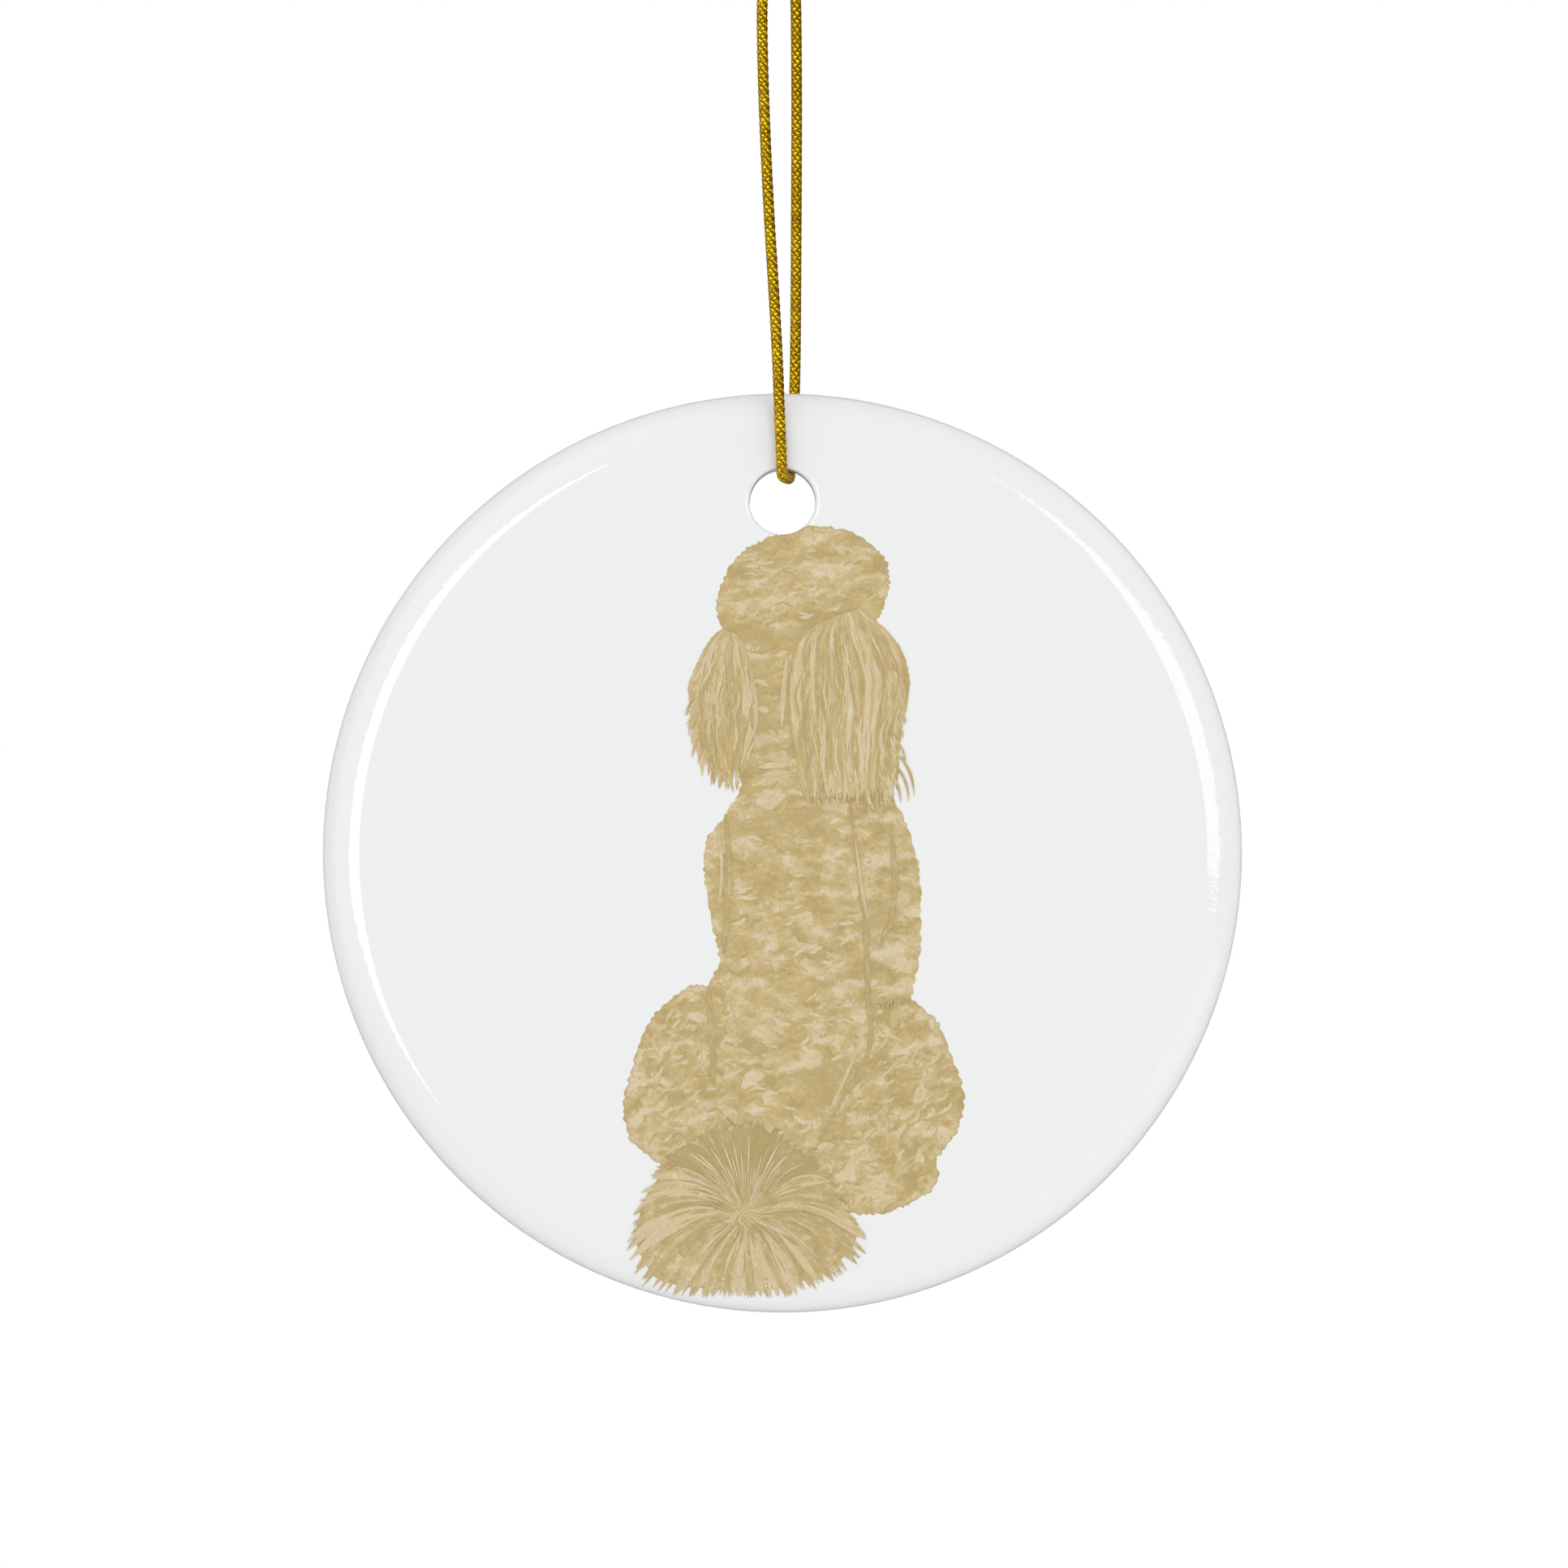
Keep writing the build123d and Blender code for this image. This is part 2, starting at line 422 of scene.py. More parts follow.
def gold_yarn():
    """Metallic yarn: bright filaments among dull ones, with painted shade at its edges and in hollows."""
    settings = bpy.context.scene.ornament_cord
    made, tree, shader = new_material("gold_yarn")
    crown, hollow = mesh_value(tree, "crown"), mesh_value(tree, "hollow")

    # Filaments are noise that is drawn out along the yarn
    spot = node(tree, "ShaderNodeCombineXYZ", {
        "X": maths(tree, "MULTIPLY", mesh_value(tree, "along"), 900.0),
        "Y": maths(tree, "MULTIPLY", crown, 4.0),
        "Z": maths(tree, "MULTIPLY", hollow, 3.0),
    })
    strands = noise(tree, spot.outputs["Vector"], 1.0, 3.0, 0.6)
    gold = list(settings.gold)
    deep = [gold[0] * 0.33, gold[1] * 0.2, gold[2] * 0.2, 1.0]
    colour = mix_colours(tree, ramp(tree, strands, 0.38, 0.58), deep, gold)
    # Painted shade: the yarn turns towards the dark core colour at its inward-facing edges and where it
    # sinks under the next row
    edges = ramp(tree, crown, 0.2, 0.7, 0.5, 0.0)
    sunk_shade = maths(tree, "MAXIMUM", hollow, edges)
    feed(tree, shader.inputs["Base Color"], mix_colours(tree, sunk_shade, colour, list(settings.core)))
    feed(tree, shader.inputs["Roughness"], ramp(tree, strands, 0.3, 0.7, 0.34, 0.2))
    shader.inputs["Metallic"].default_value = 0.88
    bump = node(tree, "ShaderNodeBump", {"Strength": 0.5, "Distance": 0.01 * MM, "Height": strands})
    feed(tree, shader.inputs["Normal"], bump.outputs["Normal"])
    return made


# ---------------------------------------------------------------- the cord

# Proportions of the braid
YARN_WIDTH = 0.47  # of the cord's diameter
YARN_THICKNESS = 0.2
YARN_SWING = 0.42  # how far a yarn rides out and sinks, of its thickness
YARN_INSET = 0.92  # how far below the cord's surface it runs, of its thickness
STEPS_IN_A_ROW = 7


def route_curve(name, points):
    """A smooth open line with the route's points as its control points."""
    data = bpy.data.curves.new(name, "CURVE")
    data.dimensions = "3D"
    data.resolution_u = 16
    line = data.splines.new("NURBS")
    line.points.add(len(points) - 1)
    for knot, place in zip(line.points, points):
        knot.co = (*place, 1.0)
    line.order_u = 3
    line.use_endpoint_u = True
    return placed(name, data)


def points_along(route):
    """The places of the smooth line that the cord's braid follows, in order."""
    line = route_curve("measured_line", route)
    view = bpy.context.evaluated_depsgraph_get()
    mesh = bpy.data.meshes.new_from_object(line.evaluated_get(view), depsgraph=view)
    points = [tuple(v.co) for v in mesh.vertices]
    bpy.data.meshes.remove(mesh)
    data = line.data
    bpy.data.objects.remove(line)
    bpy.data.curves.remove(data)
    return points


def stored(tree, geometry, title, number):
    """A geometry whose points hold a number under a title."""
    made = node(
        tree, "GeometryNodeStoreNamedAttribute",
        {"Geometry": geometry, "Name": title, "Value": number}, data_type="FLOAT",
    )
    return made.outputs["Geometry"]


def finish_tree(tree, out, geometry, material):
    """Ends a Geometry Nodes tree: real meshes with their material."""
    real = node(tree, "GeometryNodeRealizeInstances", {"Geometry": geometry})
    values = {"Geometry": real.outputs["Geometry"], "Material": material}
    finish = node(tree, "GeometryNodeSetMaterial", values)
    feed(tree, out.inputs["Geometry"], finish.outputs["Geometry"])
    return tree


def braid_tree():
    """Tubular braid on a line: flat yarns wind both ways round it, over and under each other."""
    tree, value, out = new_tree(
        "braided_cord", "GeometryNodeTree",
        {
            "Line": "Geometry", "Radius": "Float", "Pitch": "Float", "Yarns": "Int",
            "Yarn Width": "Float", "Yarn Thickness": "Float", "Step": "Float",
            "Material": "Material",
        },
        {"Geometry": "Geometry"},
    )
    values = {"Curve": value["Line"], "Length": value["Step"]}
    spaced = node(tree, "GeometryNodeResampleCurve", values, mode="LENGTH")
    kept = tree.nodes.new("GeometryNodeCaptureAttribute")
    for kind, title in (("VECTOR", "Tangent"), ("VECTOR", "Normal"), ("FLOAT", "Length")):
        kept.capture_items.new(kind, title)
    feed(tree, kept.inputs["Geometry"], spaced.outputs["Curve"])
    feed(tree, kept.inputs["Tangent"], node(tree, "GeometryNodeInputTangent").outputs[0])
    feed(tree, kept.inputs["Normal"], node(tree, "GeometryNodeInputNormal").outputs[0])
    place = node(tree, "GeometryNodeSplineParameter").outputs["Length"]
    feed(tree, kept.inputs["Length"], place)
    values = {"Geometry": kept.outputs["Geometry"], "Amount": value["Yarns"]}
    copies = node(tree, "GeometryNodeDuplicateElements", values, domain="SPLINE")

    # Odd yarns wind one way and even yarns the other
    index = copies.outputs["Duplicate Index"]
    way = maths(tree, "MULTIPLY_ADD", maths(tree, "MODULO", index, 2.0), 2.0, -1.0)
    each_way = maths(tree, "DIVIDE", value["Yarns"], 2.0)
    seat = maths(tree, "FLOOR", maths(tree, "DIVIDE", index, 2.0))
    first_angle = maths(tree, "DIVIDE", maths(tree, "MULTIPLY", seat, 2 * pi), each_way)
    rows = maths(tree, "DIVIDE", kept.outputs["Length"], value["Pitch"])
    wave = maths(tree, "MULTIPLY", rows, 2 * pi)
    wound = maths(tree, "MULTIPLY", maths(tree, "DIVIDE", wave, each_way), way)
    angle = maths(tree, "ADD", wound, first_angle)

    # Each yarn rides out over one row and sinks under the next
    swing = maths(tree, "MULTIPLY", maths(tree, "COSINE", wave), way)
    rise = maths(tree, "MULTIPLY", value["Yarn Thickness"], YARN_SWING)
    inset = maths(tree, "MULTIPLY", value["Yarn Thickness"], YARN_INSET)
    middle = maths(tree, "SUBTRACT", value["Radius"], inset)
    reach = maths(tree, "MULTIPLY_ADD", swing, rise, middle)
    normal = kept.outputs["Normal"]
    side = vector_maths(tree, "CROSS_PRODUCT", kept.outputs["Tangent"], normal)
    part_one = vector_maths(tree, "SCALE", normal, scale=maths(tree, "COSINE", angle))
    part_two = vector_maths(tree, "SCALE", side, scale=maths(tree, "SINE", angle))
    outward = vector_maths(tree, "ADD", part_one, part_two)
    offset = vector_maths(tree, "SCALE", outward, scale=reach)
    values = {"Geometry": copies.outputs["Geometry"], "Offset": offset}
    moved = node(tree, "GeometryNodeSetPosition", values)
    values = {"Curve": moved.outputs["Geometry"], "Normal": outward}
    turned = node(tree, "GeometryNodeSetCurveNormal", values, mode="FREE")
    # How far a yarn has sunk under the next row, kept to paint shade on it
    sunk_shade = maths(tree, "MULTIPLY_ADD", swing, -0.4, 0.4)
    yarns = stored(tree, turned.outputs["Curve"], "along", kept.outputs["Length"])
    yarns = stored(tree, yarns, "hollow", sunk_shade)

    # A yarn's section is a flat ellipse. Its crown is 1 where it faces out and -1 where it
    # faces in.
    section = node(tree, "GeometryNodeCurvePrimitiveCircle", {"Resolution": 6, "Radius": 1.0})
    size = node(tree, "ShaderNodeCombineXYZ", {
        "X": maths(tree, "MULTIPLY", value["Yarn Thickness"], 0.5),
        "Y": maths(tree, "MULTIPLY", value["Yarn Width"], 0.5), "Z": 1.0,
    })
    values = {"Geometry": section.outputs["Curve"], "Scale": size.outputs["Vector"]}
    shaped = node(tree, "GeometryNodeTransform", values)
    across = node(tree, "GeometryNodeSplineParameter").outputs["Factor"]
    crown = maths(tree, "COSINE", maths(tree, "MULTIPLY", across, 2 * pi))
    profile = stored(tree, shaped.outputs["Geometry"], "crown", crown)
    values = {"Curve": yarns, "Profile Curve": profile, "Fill Caps": True}
    swept = node(tree, "GeometryNodeCurveToMesh", values)

    # Dark core that shows between the yarns; its dark colour is painted shade.
    values = {"Curve": value["Line"], "Length": maths(tree, "MULTIPLY", value["Step"], 3.0)}
    loose = node(tree, "GeometryNodeResampleCurve", values, mode="LENGTH")
    values = {"Resolution": 10, "Radius": maths(tree, "SUBTRACT", middle, rise)}
    ring = node(tree, "GeometryNodeCurvePrimitiveCircle", values)
    core = node(tree, "GeometryNodeCurveToMesh", {
        "Curve": loose.outputs["Curve"], "Profile Curve": ring.outputs["Curve"], "Fill Caps": True,
    })
    hidden = stored(tree, core.outputs["Mesh"], "hollow", 1.0)

    both = tree.nodes.new("GeometryNodeJoinGeometry")
    feed(tree, both.inputs["Geometry"], swept.outputs["Mesh"])
    feed(tree, both.inputs["Geometry"], hidden)
    smooth = node(tree, "GeometryNodeSetShadeSmooth", {"Geometry": both.outputs["Geometry"]})
    return finish_tree(tree, out, smooth.outputs["Geometry"], value["Material"])


def braided(name, route):
    """The braid along a route, as a plain mesh."""
    settings = bpy.context.scene.ornament_cord
    tree = bpy.data.node_groups.get("braided_cord") or braid_tree()
    values = {
        "Radius": settings.diameter / 2,
        "Pitch": settings.pitch,
        "Yarns": settings.yarns,
        "Yarn Width": settings.diameter * YARN_WIDTH,
        "Yarn Thickness": settings.diameter * YARN_THICKNESS,
        "Step": settings.pitch / STEPS_IN_A_ROW,
        "Material": bpy.data.materials.get("gold_yarn") or gold_yarn(),
    }
    made = grown(route_curve(name + "_line", route), tree, values, name)
    return made


def knot_piece():
    """The overhand knot in both cord ends: leaning wraps round the two strands."""
    middle = (KNOT_LOW.z + KNOT_HIGH.z) / 2
    wrap, turns, height, lean = 1.02 * MM, 2.6, 1.75 * MM, 0.28 * MM
    tucked_share = 0.08  # of the wraps, at each end, runs in towards the strands
    wound = []
    for share in np.linspace(0, 1, 34).tolist():
        angle = 2 * pi * turns * share
        rise = middle + height * (share - 0.5) + lean * cos(angle - 0.6)
        from_end = min(share, 1 - share)
        tuck = 1 - 0.6 * max(0.0, tucked_share - from_end) / tucked_share
        wound.append((wrap * tuck * cos(angle), wrap * tuck * sin(angle), rise))
    through = [
        (-0.40 * MM, -0.05 * MM, -0.5 * MM),
        (-0.46 * MM, 0.05 * MM, 0.9 * MM),
        (-0.40 * MM, -0.05 * MM, 2.2 * MM),
        (-0.45 * MM, -0.1 * MM, TAIL_ROOT + 0.3 * MM),
    ]
    knot = joined("knot", [
        braided("knot_wrap", wound),
        braided("knot_left_strand", through),
        braided("knot_right_strand", [(-x, -y, z) for x, y, z in through]),
    ])
    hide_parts("cord_knot")
    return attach(knot, "loop_top")


def joined(name, pieces):
    """Several mesh objects as one, with the first one's materials."""
    mesh = bpy.data.meshes.new(name)
    whole = bmesh.new()
    for piece in pieces:
        whole.from_mesh(piece.data)
    whole.to_mesh(mesh)
    whole.free()
    for material in pieces[0].data.materials:
        mesh.materials.append(material)
    for piece in pieces:
        data = piece.data
        bpy.data.objects.remove(piece)
        bpy.data.meshes.remove(data)
    return placed(name, mesh)


class ORNAMENT_OT_cord(bpy.types.Operator):
    """Make the cord that runs from the knot, through the hole and back, with its knot"""

    bl_idname = "ornament.cord"
    bl_label = "Cord"

    def execute(self, context):
        path = points_along(CORD_ROUTE)
        loop = braided("cord_loop", CORD_ROUTE)
        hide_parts("cord_upper", "cord_lower")
        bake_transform(loop)
        knot = knot_piece()
        for title, route in (("left", LEFT_TAIL), ("right", RIGHT_TAIL)):
            tail = braided(f"knot_end_{title}", route)
            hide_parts(f"knot_tail_{title}")
            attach(tail, "loop_top")
        return {"FINISHED"}


# ---------------------------------------------------------------- the glazed disc


def smooth_piece(name, mesh, limit, merge=None):
    """A new object whose faces point outwards, smooth but for edges that turn past the limit.

    Points that lie within the merge distance of each other are merged first.
    """
    work = bmesh.new()
    work.from_mesh(mesh)
    if merge:
        bmesh.ops.remove_doubles(work, verts=work.verts, dist=merge)
        bmesh.ops.dissolve_degenerate(work, edges=work.edges, dist=merge)
    bmesh.ops.recalc_face_normals(work, faces=work.faces)
    work.normal_update()
    for face in work.faces:
        face.smooth = True
    for edge in work.edges:
        edge.smooth = edge.calc_face_angle(pi) < limit
    work.to_mesh(mesh)
    work.free()
    return placed(name, mesh)


def ring_solid(name, rings, count=360):
    """A closed solid from circles that all lie across Y: (height of centre, radius, depth)."""
    angles = np.linspace(0, 2 * pi, count, endpoint=False)
    places = np.array([
        [(DISC_X + r * cos(a), y, DISC_Z + c + r * sin(a)) for a in angles]
        for c, r, y in rings
    ])
    levels = len(rings)
    faces = []
    for i in range(levels):
        for j in range(count):
            k, m = (i + 1) % levels, (j + 1) % count
            faces.append((i * count + j, i * count + m, k * count + m, k * count + j))
    mesh = bpy.data.meshes.new(name)
    mesh.from_pydata(places.reshape(-1, 3).tolist(), [], faces)
    return smooth_piece(name, mesh, radians(35))


def arc(centre_rise, centre_radius, centre_depth, size, start, end, steps):
    """Rings on a rounded edge: its angle runs from facing the front to facing outwards."""
    turned = np.linspace(radians(start), radians(end), steps)
    return [
        (centre_rise, centre_radius + size * sin(t), centre_depth - size * cos(t))
        for t in turned
    ]


def face_rings(depth, inner, outer, steps, outwards=True):
    """Rings of a flat face, from round the hole out to round the disc."""
    shares = np.linspace(0, 1, steps)[1:-1]
    rings = [(HOLE_RISE * (1 - s), inner + (outer - inner) * s, depth) for s in shares]
    return rings if outwards else rings[::-1]


class ORNAMENT_OT_disc(bpy.types.Operator):
    """Make the fired disc and the glaze over its front"""

    bl_idname = "ornament.disc"
    bl_label = "Glazed Disc"

    def execute(self, context):
        lip = HOLE_RADIUS + LIP_ROUND
        inner_y = FRONT_Y + GLAZE
        # Where the lip's curve crosses the underside of the glaze
        crossing = LIP_ROUND * np.sqrt(1 - (1 - GLAZE / LIP_ROUND) ** 2)
        start = -np.degrees(np.arcsin(crossing / LIP_ROUND))
        skin = [
            *arc(HOLE_RISE, lip, FRONT_Y + LIP_ROUND, LIP_ROUND, start, 0, 7),
            *face_rings(FRONT_Y, lip, FLAT_RADIUS, 22),
            *arc(0, FLAT_RADIUS, WIDEST_Y, FRONT_ROUND, 0, 90, 40),
            *arc(0, FLAT_RADIUS, WIDEST_Y, FRONT_ROUND - GLAZE, 90, 0, 20),
            *face_rings(inner_y, lip - crossing, FLAT_RADIUS, 12, outwards=False),
        ]
        body = [
            (HOLE_RISE, lip - crossing, inner_y),
            *face_rings(inner_y, lip - crossing, FLAT_RADIUS, 12),
            *arc(0, FLAT_RADIUS, WIDEST_Y, FRONT_ROUND - GLAZE, 0, 90, 20),
            *arc(0, DISC_RADIUS - BACK_ROUND, WIDEST_Y, BACK_ROUND, 90, 180, 16),
            *face_rings(BACK_Y, lip, DISC_RADIUS - BACK_ROUND, 22, outwards=False),
            *arc(HOLE_RISE, lip, BACK_Y - LIP_ROUND, LIP_ROUND, 180, 270, 8),
            (HOLE_RISE, HOLE_RADIUS, 0.0),
            *arc(HOLE_RISE, lip, FRONT_Y + LIP_ROUND, LIP_ROUND, -90, start, 7)[:-1],
        ]
        ripple = bpy.data.node_groups.get("glaze_ripple") or glaze_ripple_group()
        pieces = (
            ("glazed_front", skin, "front_glaze", "glaze", 0.0),
            ("fired_body", body, "ceramic_disc", "ceramic", 0.006),
        )
        for name, rings, stands_for, slot, warmth in pieces:
            made = ring_solid(name, rings)
            made.data.materials.append(white_glaze(name, ripple, warmth))
            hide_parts(stands_for)
            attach(made, "ornament")
        return {"FINISHED"}


# ---------------------------------------------------------------- the printed dog

# Outlines of the sitting dog, seen from behind, in millimetres from the disc's centre. A mass
# has one closed outline and the place its strands spread from. A fall of hair or the long back
# has a left and a right edge, both from the top down.
TOPKNOT = [
    (-4.6, 17.0), (-4.95, 18.9), (-4.5, 20.5), (-3.4, 22.45), (-1.4, 23.7), (0.25, 24.25),
    (1.9, 24.8), (3.8, 24.6), (5.4, 24.25), (7.35, 22.8), (8.05, 21.1), (7.8, 19.4),
    (7.1, 17.8), (5.0, 16.9), (2.0, 15.9), (-1.5, 15.2), (-3.6, 15.6),
]
HEAD = [
    (-3.6, 16.5), (0.0, 17.4), (3.4, 17.4), (4.6, 13.0), (4.4, 8.0), (3.0, 3.6),
    (0.0, 2.9), (-2.6, 4.2), (-3.6, 8.0), (-4.0, 12.5),
]
LEFT_EAR = (
    [(-4.55, 17.0), (-5.7, 15.8), (-7.0, 13.1), (-7.1, 11.9), (-6.8, 9.3), (-6.2, 7.4), (-5.0, 5.6)],
    [(-3.5, 16.6), (-2.8, 15.6), (-2.2, 13.6), (-1.9, 11.4), (-2.0, 9.0), (-2.6, 7.0), (-3.4, 4.9)],
)
FLICKS = [
    ((8.3, 8.8), (9.3, 6.7)), ((8.2, 8.0), (9.95, 4.4)), ((8.0, 7.2), (9.55, 3.9)),
    ((7.6, 6.6), (8.95, 3.8)), ((7.0, 6.0), (8.3, 3.6)),
]
RIGHT_EAR = (
    [(3.4, 17.75), (1.9, 16.8), (1.0, 15.4), (0.6, 12.8), (0.7, 10.0), (1.0, 7.4), (1.6, 3.6)],
    [(6.0, 18.6), (7.2, 17.5), (8.4, 16.3), (9.3, 14.6), (9.6, 12.3), (8.9, 8.4), (8.7, 3.7)],
)
BACK = (
    [(-2.8, 6.5), (-3.3, 4.6), (-4.45, 2.7), (-5.75, 0.9), (-5.9, -1.1), (-5.45, -4.7),
     (-4.75, -8.0), (-5.6, -10.4), (-6.0, -16.0), (-5.2, -22.0), (-3.0, -26.5)],
    [(7.4, 6.5), (8.35, 4.2), (9.45, 2.0), (10.25, -0.7), (10.45, -3.6), (10.4, -6.9),
     (10.2, -8.5), (9.7, -11.2), (9.4, -16.0), (8.4, -22.0), (6.0, -26.5)],
)
LEFT_HAUNCH = [
    (-4.4, -10.3), (-5.6, -10.05), (-7.2, -10.15), (-9.2, -11.75), (-10.6, -13.75),
    (-11.3, -16.1), (-12.0, -19.0), (-11.6, -21.3), (-10.7, -22.4), (-9.0, -23.6),
    (-6.0, -25.0), (-3.6, -22.0), (-3.2, -15.0),
]
RIGHT_HAUNCH = [
    (8.0, -11.4), (9.6, -11.15), (10.9, -11.95), (12.05, -13.35), (12.75, -15.2),
    (13.35, -16.8), (13.7, -18.5), (13.35, -20.3), (12.9, -21.5), (11.7, -23.0),
    (11.8, -24.3), (11.2, -25.5), (8.9, -26.75), (7.3, -27.2), (5.4, -27.2), (1.6, -26.4),
    (0.8, -22.4), (3.4, -17.0), (6.2, -12.8),
]
TAIL = [
    (-9.2, -23.4), (-9.9, -24.6), (-10.8, -26.0), (-11.35, -27.8), (-11.5, -29.6),
    (-10.8, -31.2), (-9.9, -32.4), (-8.0, -33.0), (-6.0, -33.2), (-3.5, -33.4), (-1.3, -33.3),
    (0.7, -32.9), (2.8, -32.1), (4.5, -31.1), (5.8, -29.8), (6.1, -28.4), (5.4, -27.2),
    (4.2, -25.4), (2.8, -23.6), (0.9, -22.1), (-1.7, -20.6), (-4.2, -20.9), (-6.3, -21.5),
    (-8.0, -22.6),
]
TAIL_WHORL = (-2.7, -27.5)

# The print's layers lie over each other, each at its own number of steps above the glaze.
# Layers that share a number don't meet.
STEP = 0.006 * MM
LEVEL = 0.002 * MM  # brush strokes that cross lie this far apart
LAYER_ROOT = 0.03 * MM  # a layer's underside lies this deep in the glaze
STROKE_ROOT = 0.02 * MM
THINNEST = 0.006  # half width of a stroke at its point, in millimetres
POINTED_TUFTS = 0.4  # share of the tufts on a woolly edge that are narrow and pointed
BACK_STEP = 1
CURL_STEP = 4
LINE_STEP = 8
EAR_STEP = 9
TAIL_STEP = 9
HAIR_STEP = 10

# The coat's finishes: (name, length and breadth of its patches, how far they bend)
WOOLS = (
    ("curly_wool", (2.1, 1.0), 1.2),
    ("swirled_wool", (1.6, 1.1), 2.2),
    ("combed_hair", (5.0, 0.6), 0.5),
    ("drawn_hairs", (0.9, 0.9), 0.5),
)

# Woolly masses: (name, outline, heart, step, depth of its ruffles, lean, seed, finish)
MASSES = (
    ("print_left_haunch", LEFT_HAUNCH, (-6.8, -17.4), 2, 0.22, 12, 5.0, "swirled_wool"),
    ("print_right_haunch", RIGHT_HAUNCH, (7.4, -19.6), 2, 0.24, 24, 9.0, "swirled_wool"),
    ("print_head", HEAD, (0.3, 10.5), 2, 0.05, 14, 13.0, "curly_wool"),
    ("print_topknot", TOPKNOT, (1.6, 20.0), 3, 0.22, 8, 17.0, "curly_wool"),
)

# Curls on the masses: (outline, how many, lean, half width, tones)
CURLS = (
    (BACK[0] + BACK[1][::-1], 240, 8, 0.15, (-0.8, -0.4, 0.5, 0.35)),
    (LEFT_HAUNCH, 90, 30, 0.13, (-0.7, -0.4, 0.5, 0.4)),
    (RIGHT_HAUNCH, 120, 30, 0.13, (-0.7, -0.4, 0.5, 0.4)),
    (TOPKNOT, 80, 8, 0.13, (-0.6, -0.4, 0.4, 0.3)),
    (HEAD, 60, 20, 0.08, (-0.6, 0.5)),
)

# Pale lines of the drawing: (half width, points from the top down)
PALE_LINES = [
    (0.13, [(6.0, -13.8), (4.9, -16.6), (3.3, -20.0)]),
    (0.13, [(-4.9, 2.4), (-4.6, -1.0), (-4.8, -4.2)]),
    (0.13, [(5.5, 1.2), (6.0, -2.6), (6.5, -5.2)]),
    (0.20, [(0.36, 15.1), (0.1, 12.5), (-0.1, 9.4)]),
]

# Pale dabs on the head: (half width, left end, right end)
PALE_DABS = [
    (0.20, (-2.2, 13.1), (-1.0, 12.6)), (0.24, (-1.9, 10.9), (-1.0, 10.7)),
    (0.16, (-4.0, 16.1), (-3.2, 15.7)), (0.24, (-1.9, 6.5), (0.9, 6.7)),
    (0.22, (-1.5, 5.9), (0.6, 6.1)), (0.16, (-0.3, 7.7), (0.4, 7.4)),
    (0.18, (-2.3, 4.4), (-0.8, 4.2)), (0.20, (0.2, 4.7), (1.6, 4.4)),
    (0.15, (-1.1, 9.3), (-0.5, 8.9)),
]

# Dark creases of the drawing: (how dark, half width, points from the top down)
CREASES = [
    (0.9, 0.26, [
        (5.0, 4.0), (5.6, 0.0), (6.2, -4.3), (6.4, -9.0), (6.6, -14.6), (4.6, -18.5), (2.9, -21.6),
    ]),
    (0.7, 0.30, [(8.2, 2.0), (8.5, -1.5), (8.3, -4.5), (7.4, -7.0)]),
    (0.7, 0.30, [(-4.3, 2.6), (-4.0, -1.0), (-4.2, -4.0), (-4.4, -7.6)]),
    (0.8, 0.28, [(-5.6, -10.1), (-5.4, -13.0), (-5.2, -17.3)]),
    (0.8, 0.30, [(6.7, -11.6), (8.2, -11.4), (9.6, -11.1)]),
    (0.8, 0.22, [(1.0, 15.4), (0.62, 12.8), (0.68, 9.6), (1.4, 6.6)]),
    (0.7, 0.90, [(2.0, -17.0), (3.4, -16.8), (3.2, -18.6)]),
    (0.7, 0.60, [(-4.4, 17.0), (-1.0, 16.4), (2.2, 17.2), (5.4, 18.4)]),
    (0.5, 0.80, [(-2.4, 14.0), (-1.6, 10.5), (-1.2, 6.8)]),
    (0.5, 0.90, [(-1.4, 1.9), (1.2, 2.7), (3.6, 3.6)]),
    (0.9, 1.50, [(-6.2, -23.0), (-2.6, -22.6), (1.4, -24.2)]),
    (0.6, 0.90, [(7.0, -4.6), (8.6, -4.2)]),
]

EAR_TONES = (-0.8, -0.55, 0.5, 0.8, 0.2)

# Locks along the ears' ends: (line of roots, how many, run, length, half width, tones)
FRINGES = (
    ([(-6.9, 11.5), (-6.3, 8.0), (-5.2, 6.2), (-3.2, 5.4)], 26, (240, 268), 0.9, 0.13, (-0.4, 0.0, 0.3)),
    ([(2.0, 5.8), (4.5, 5.2), (7.0, 4.8), (8.4, 5.2)], 26, (262, 285), 1.5, 0.16, (-0.6, -0.3, 0.3, 0.5)),
    ([(8.4, 7.4), (8.7, 9.0), (9.0, 11.0), (9.3, 12.5)], 9, (292, 280), 1.1, 0.13, (-0.2, 0.2)),
)

# Hair of the tail: (name, step, rounds of how many locks, spread, shares, half width, tones
# and how far they pass the outline)
TAIL_HAIR = (
    ("print_tail_top", 10, (
        (42, (28, 150), ((0.3, 0.7), (0.93, 1.0)), 0.42, (0.6, 0.8, 1.0), 1.09),
    )),
    ("print_tail_locks", 14, (
        (84, (-212, 30), ((0.1, 0.6), (0.97, 1.0)), 0.46, (-0.65, -0.3, 0.1, 0.3, 0.5), 1.05),
    )),
    ("print_tail_hairs", 18, (
        (60, (-205, 25), ((0.14, 0.5), (0.5, 0.95)), 0.12, (-0.8, -0.6, 0.8, 0.6)),
        (22, (35, 165), ((0.12, 0.3), (0.45, 0.85)), 0.08, (-0.9, -0.7)),
        (11, (40, 150), ((0.2, 0.4), (0.85, 1.0)), 0.09, (-0.8, -0.6)),
    )),
)


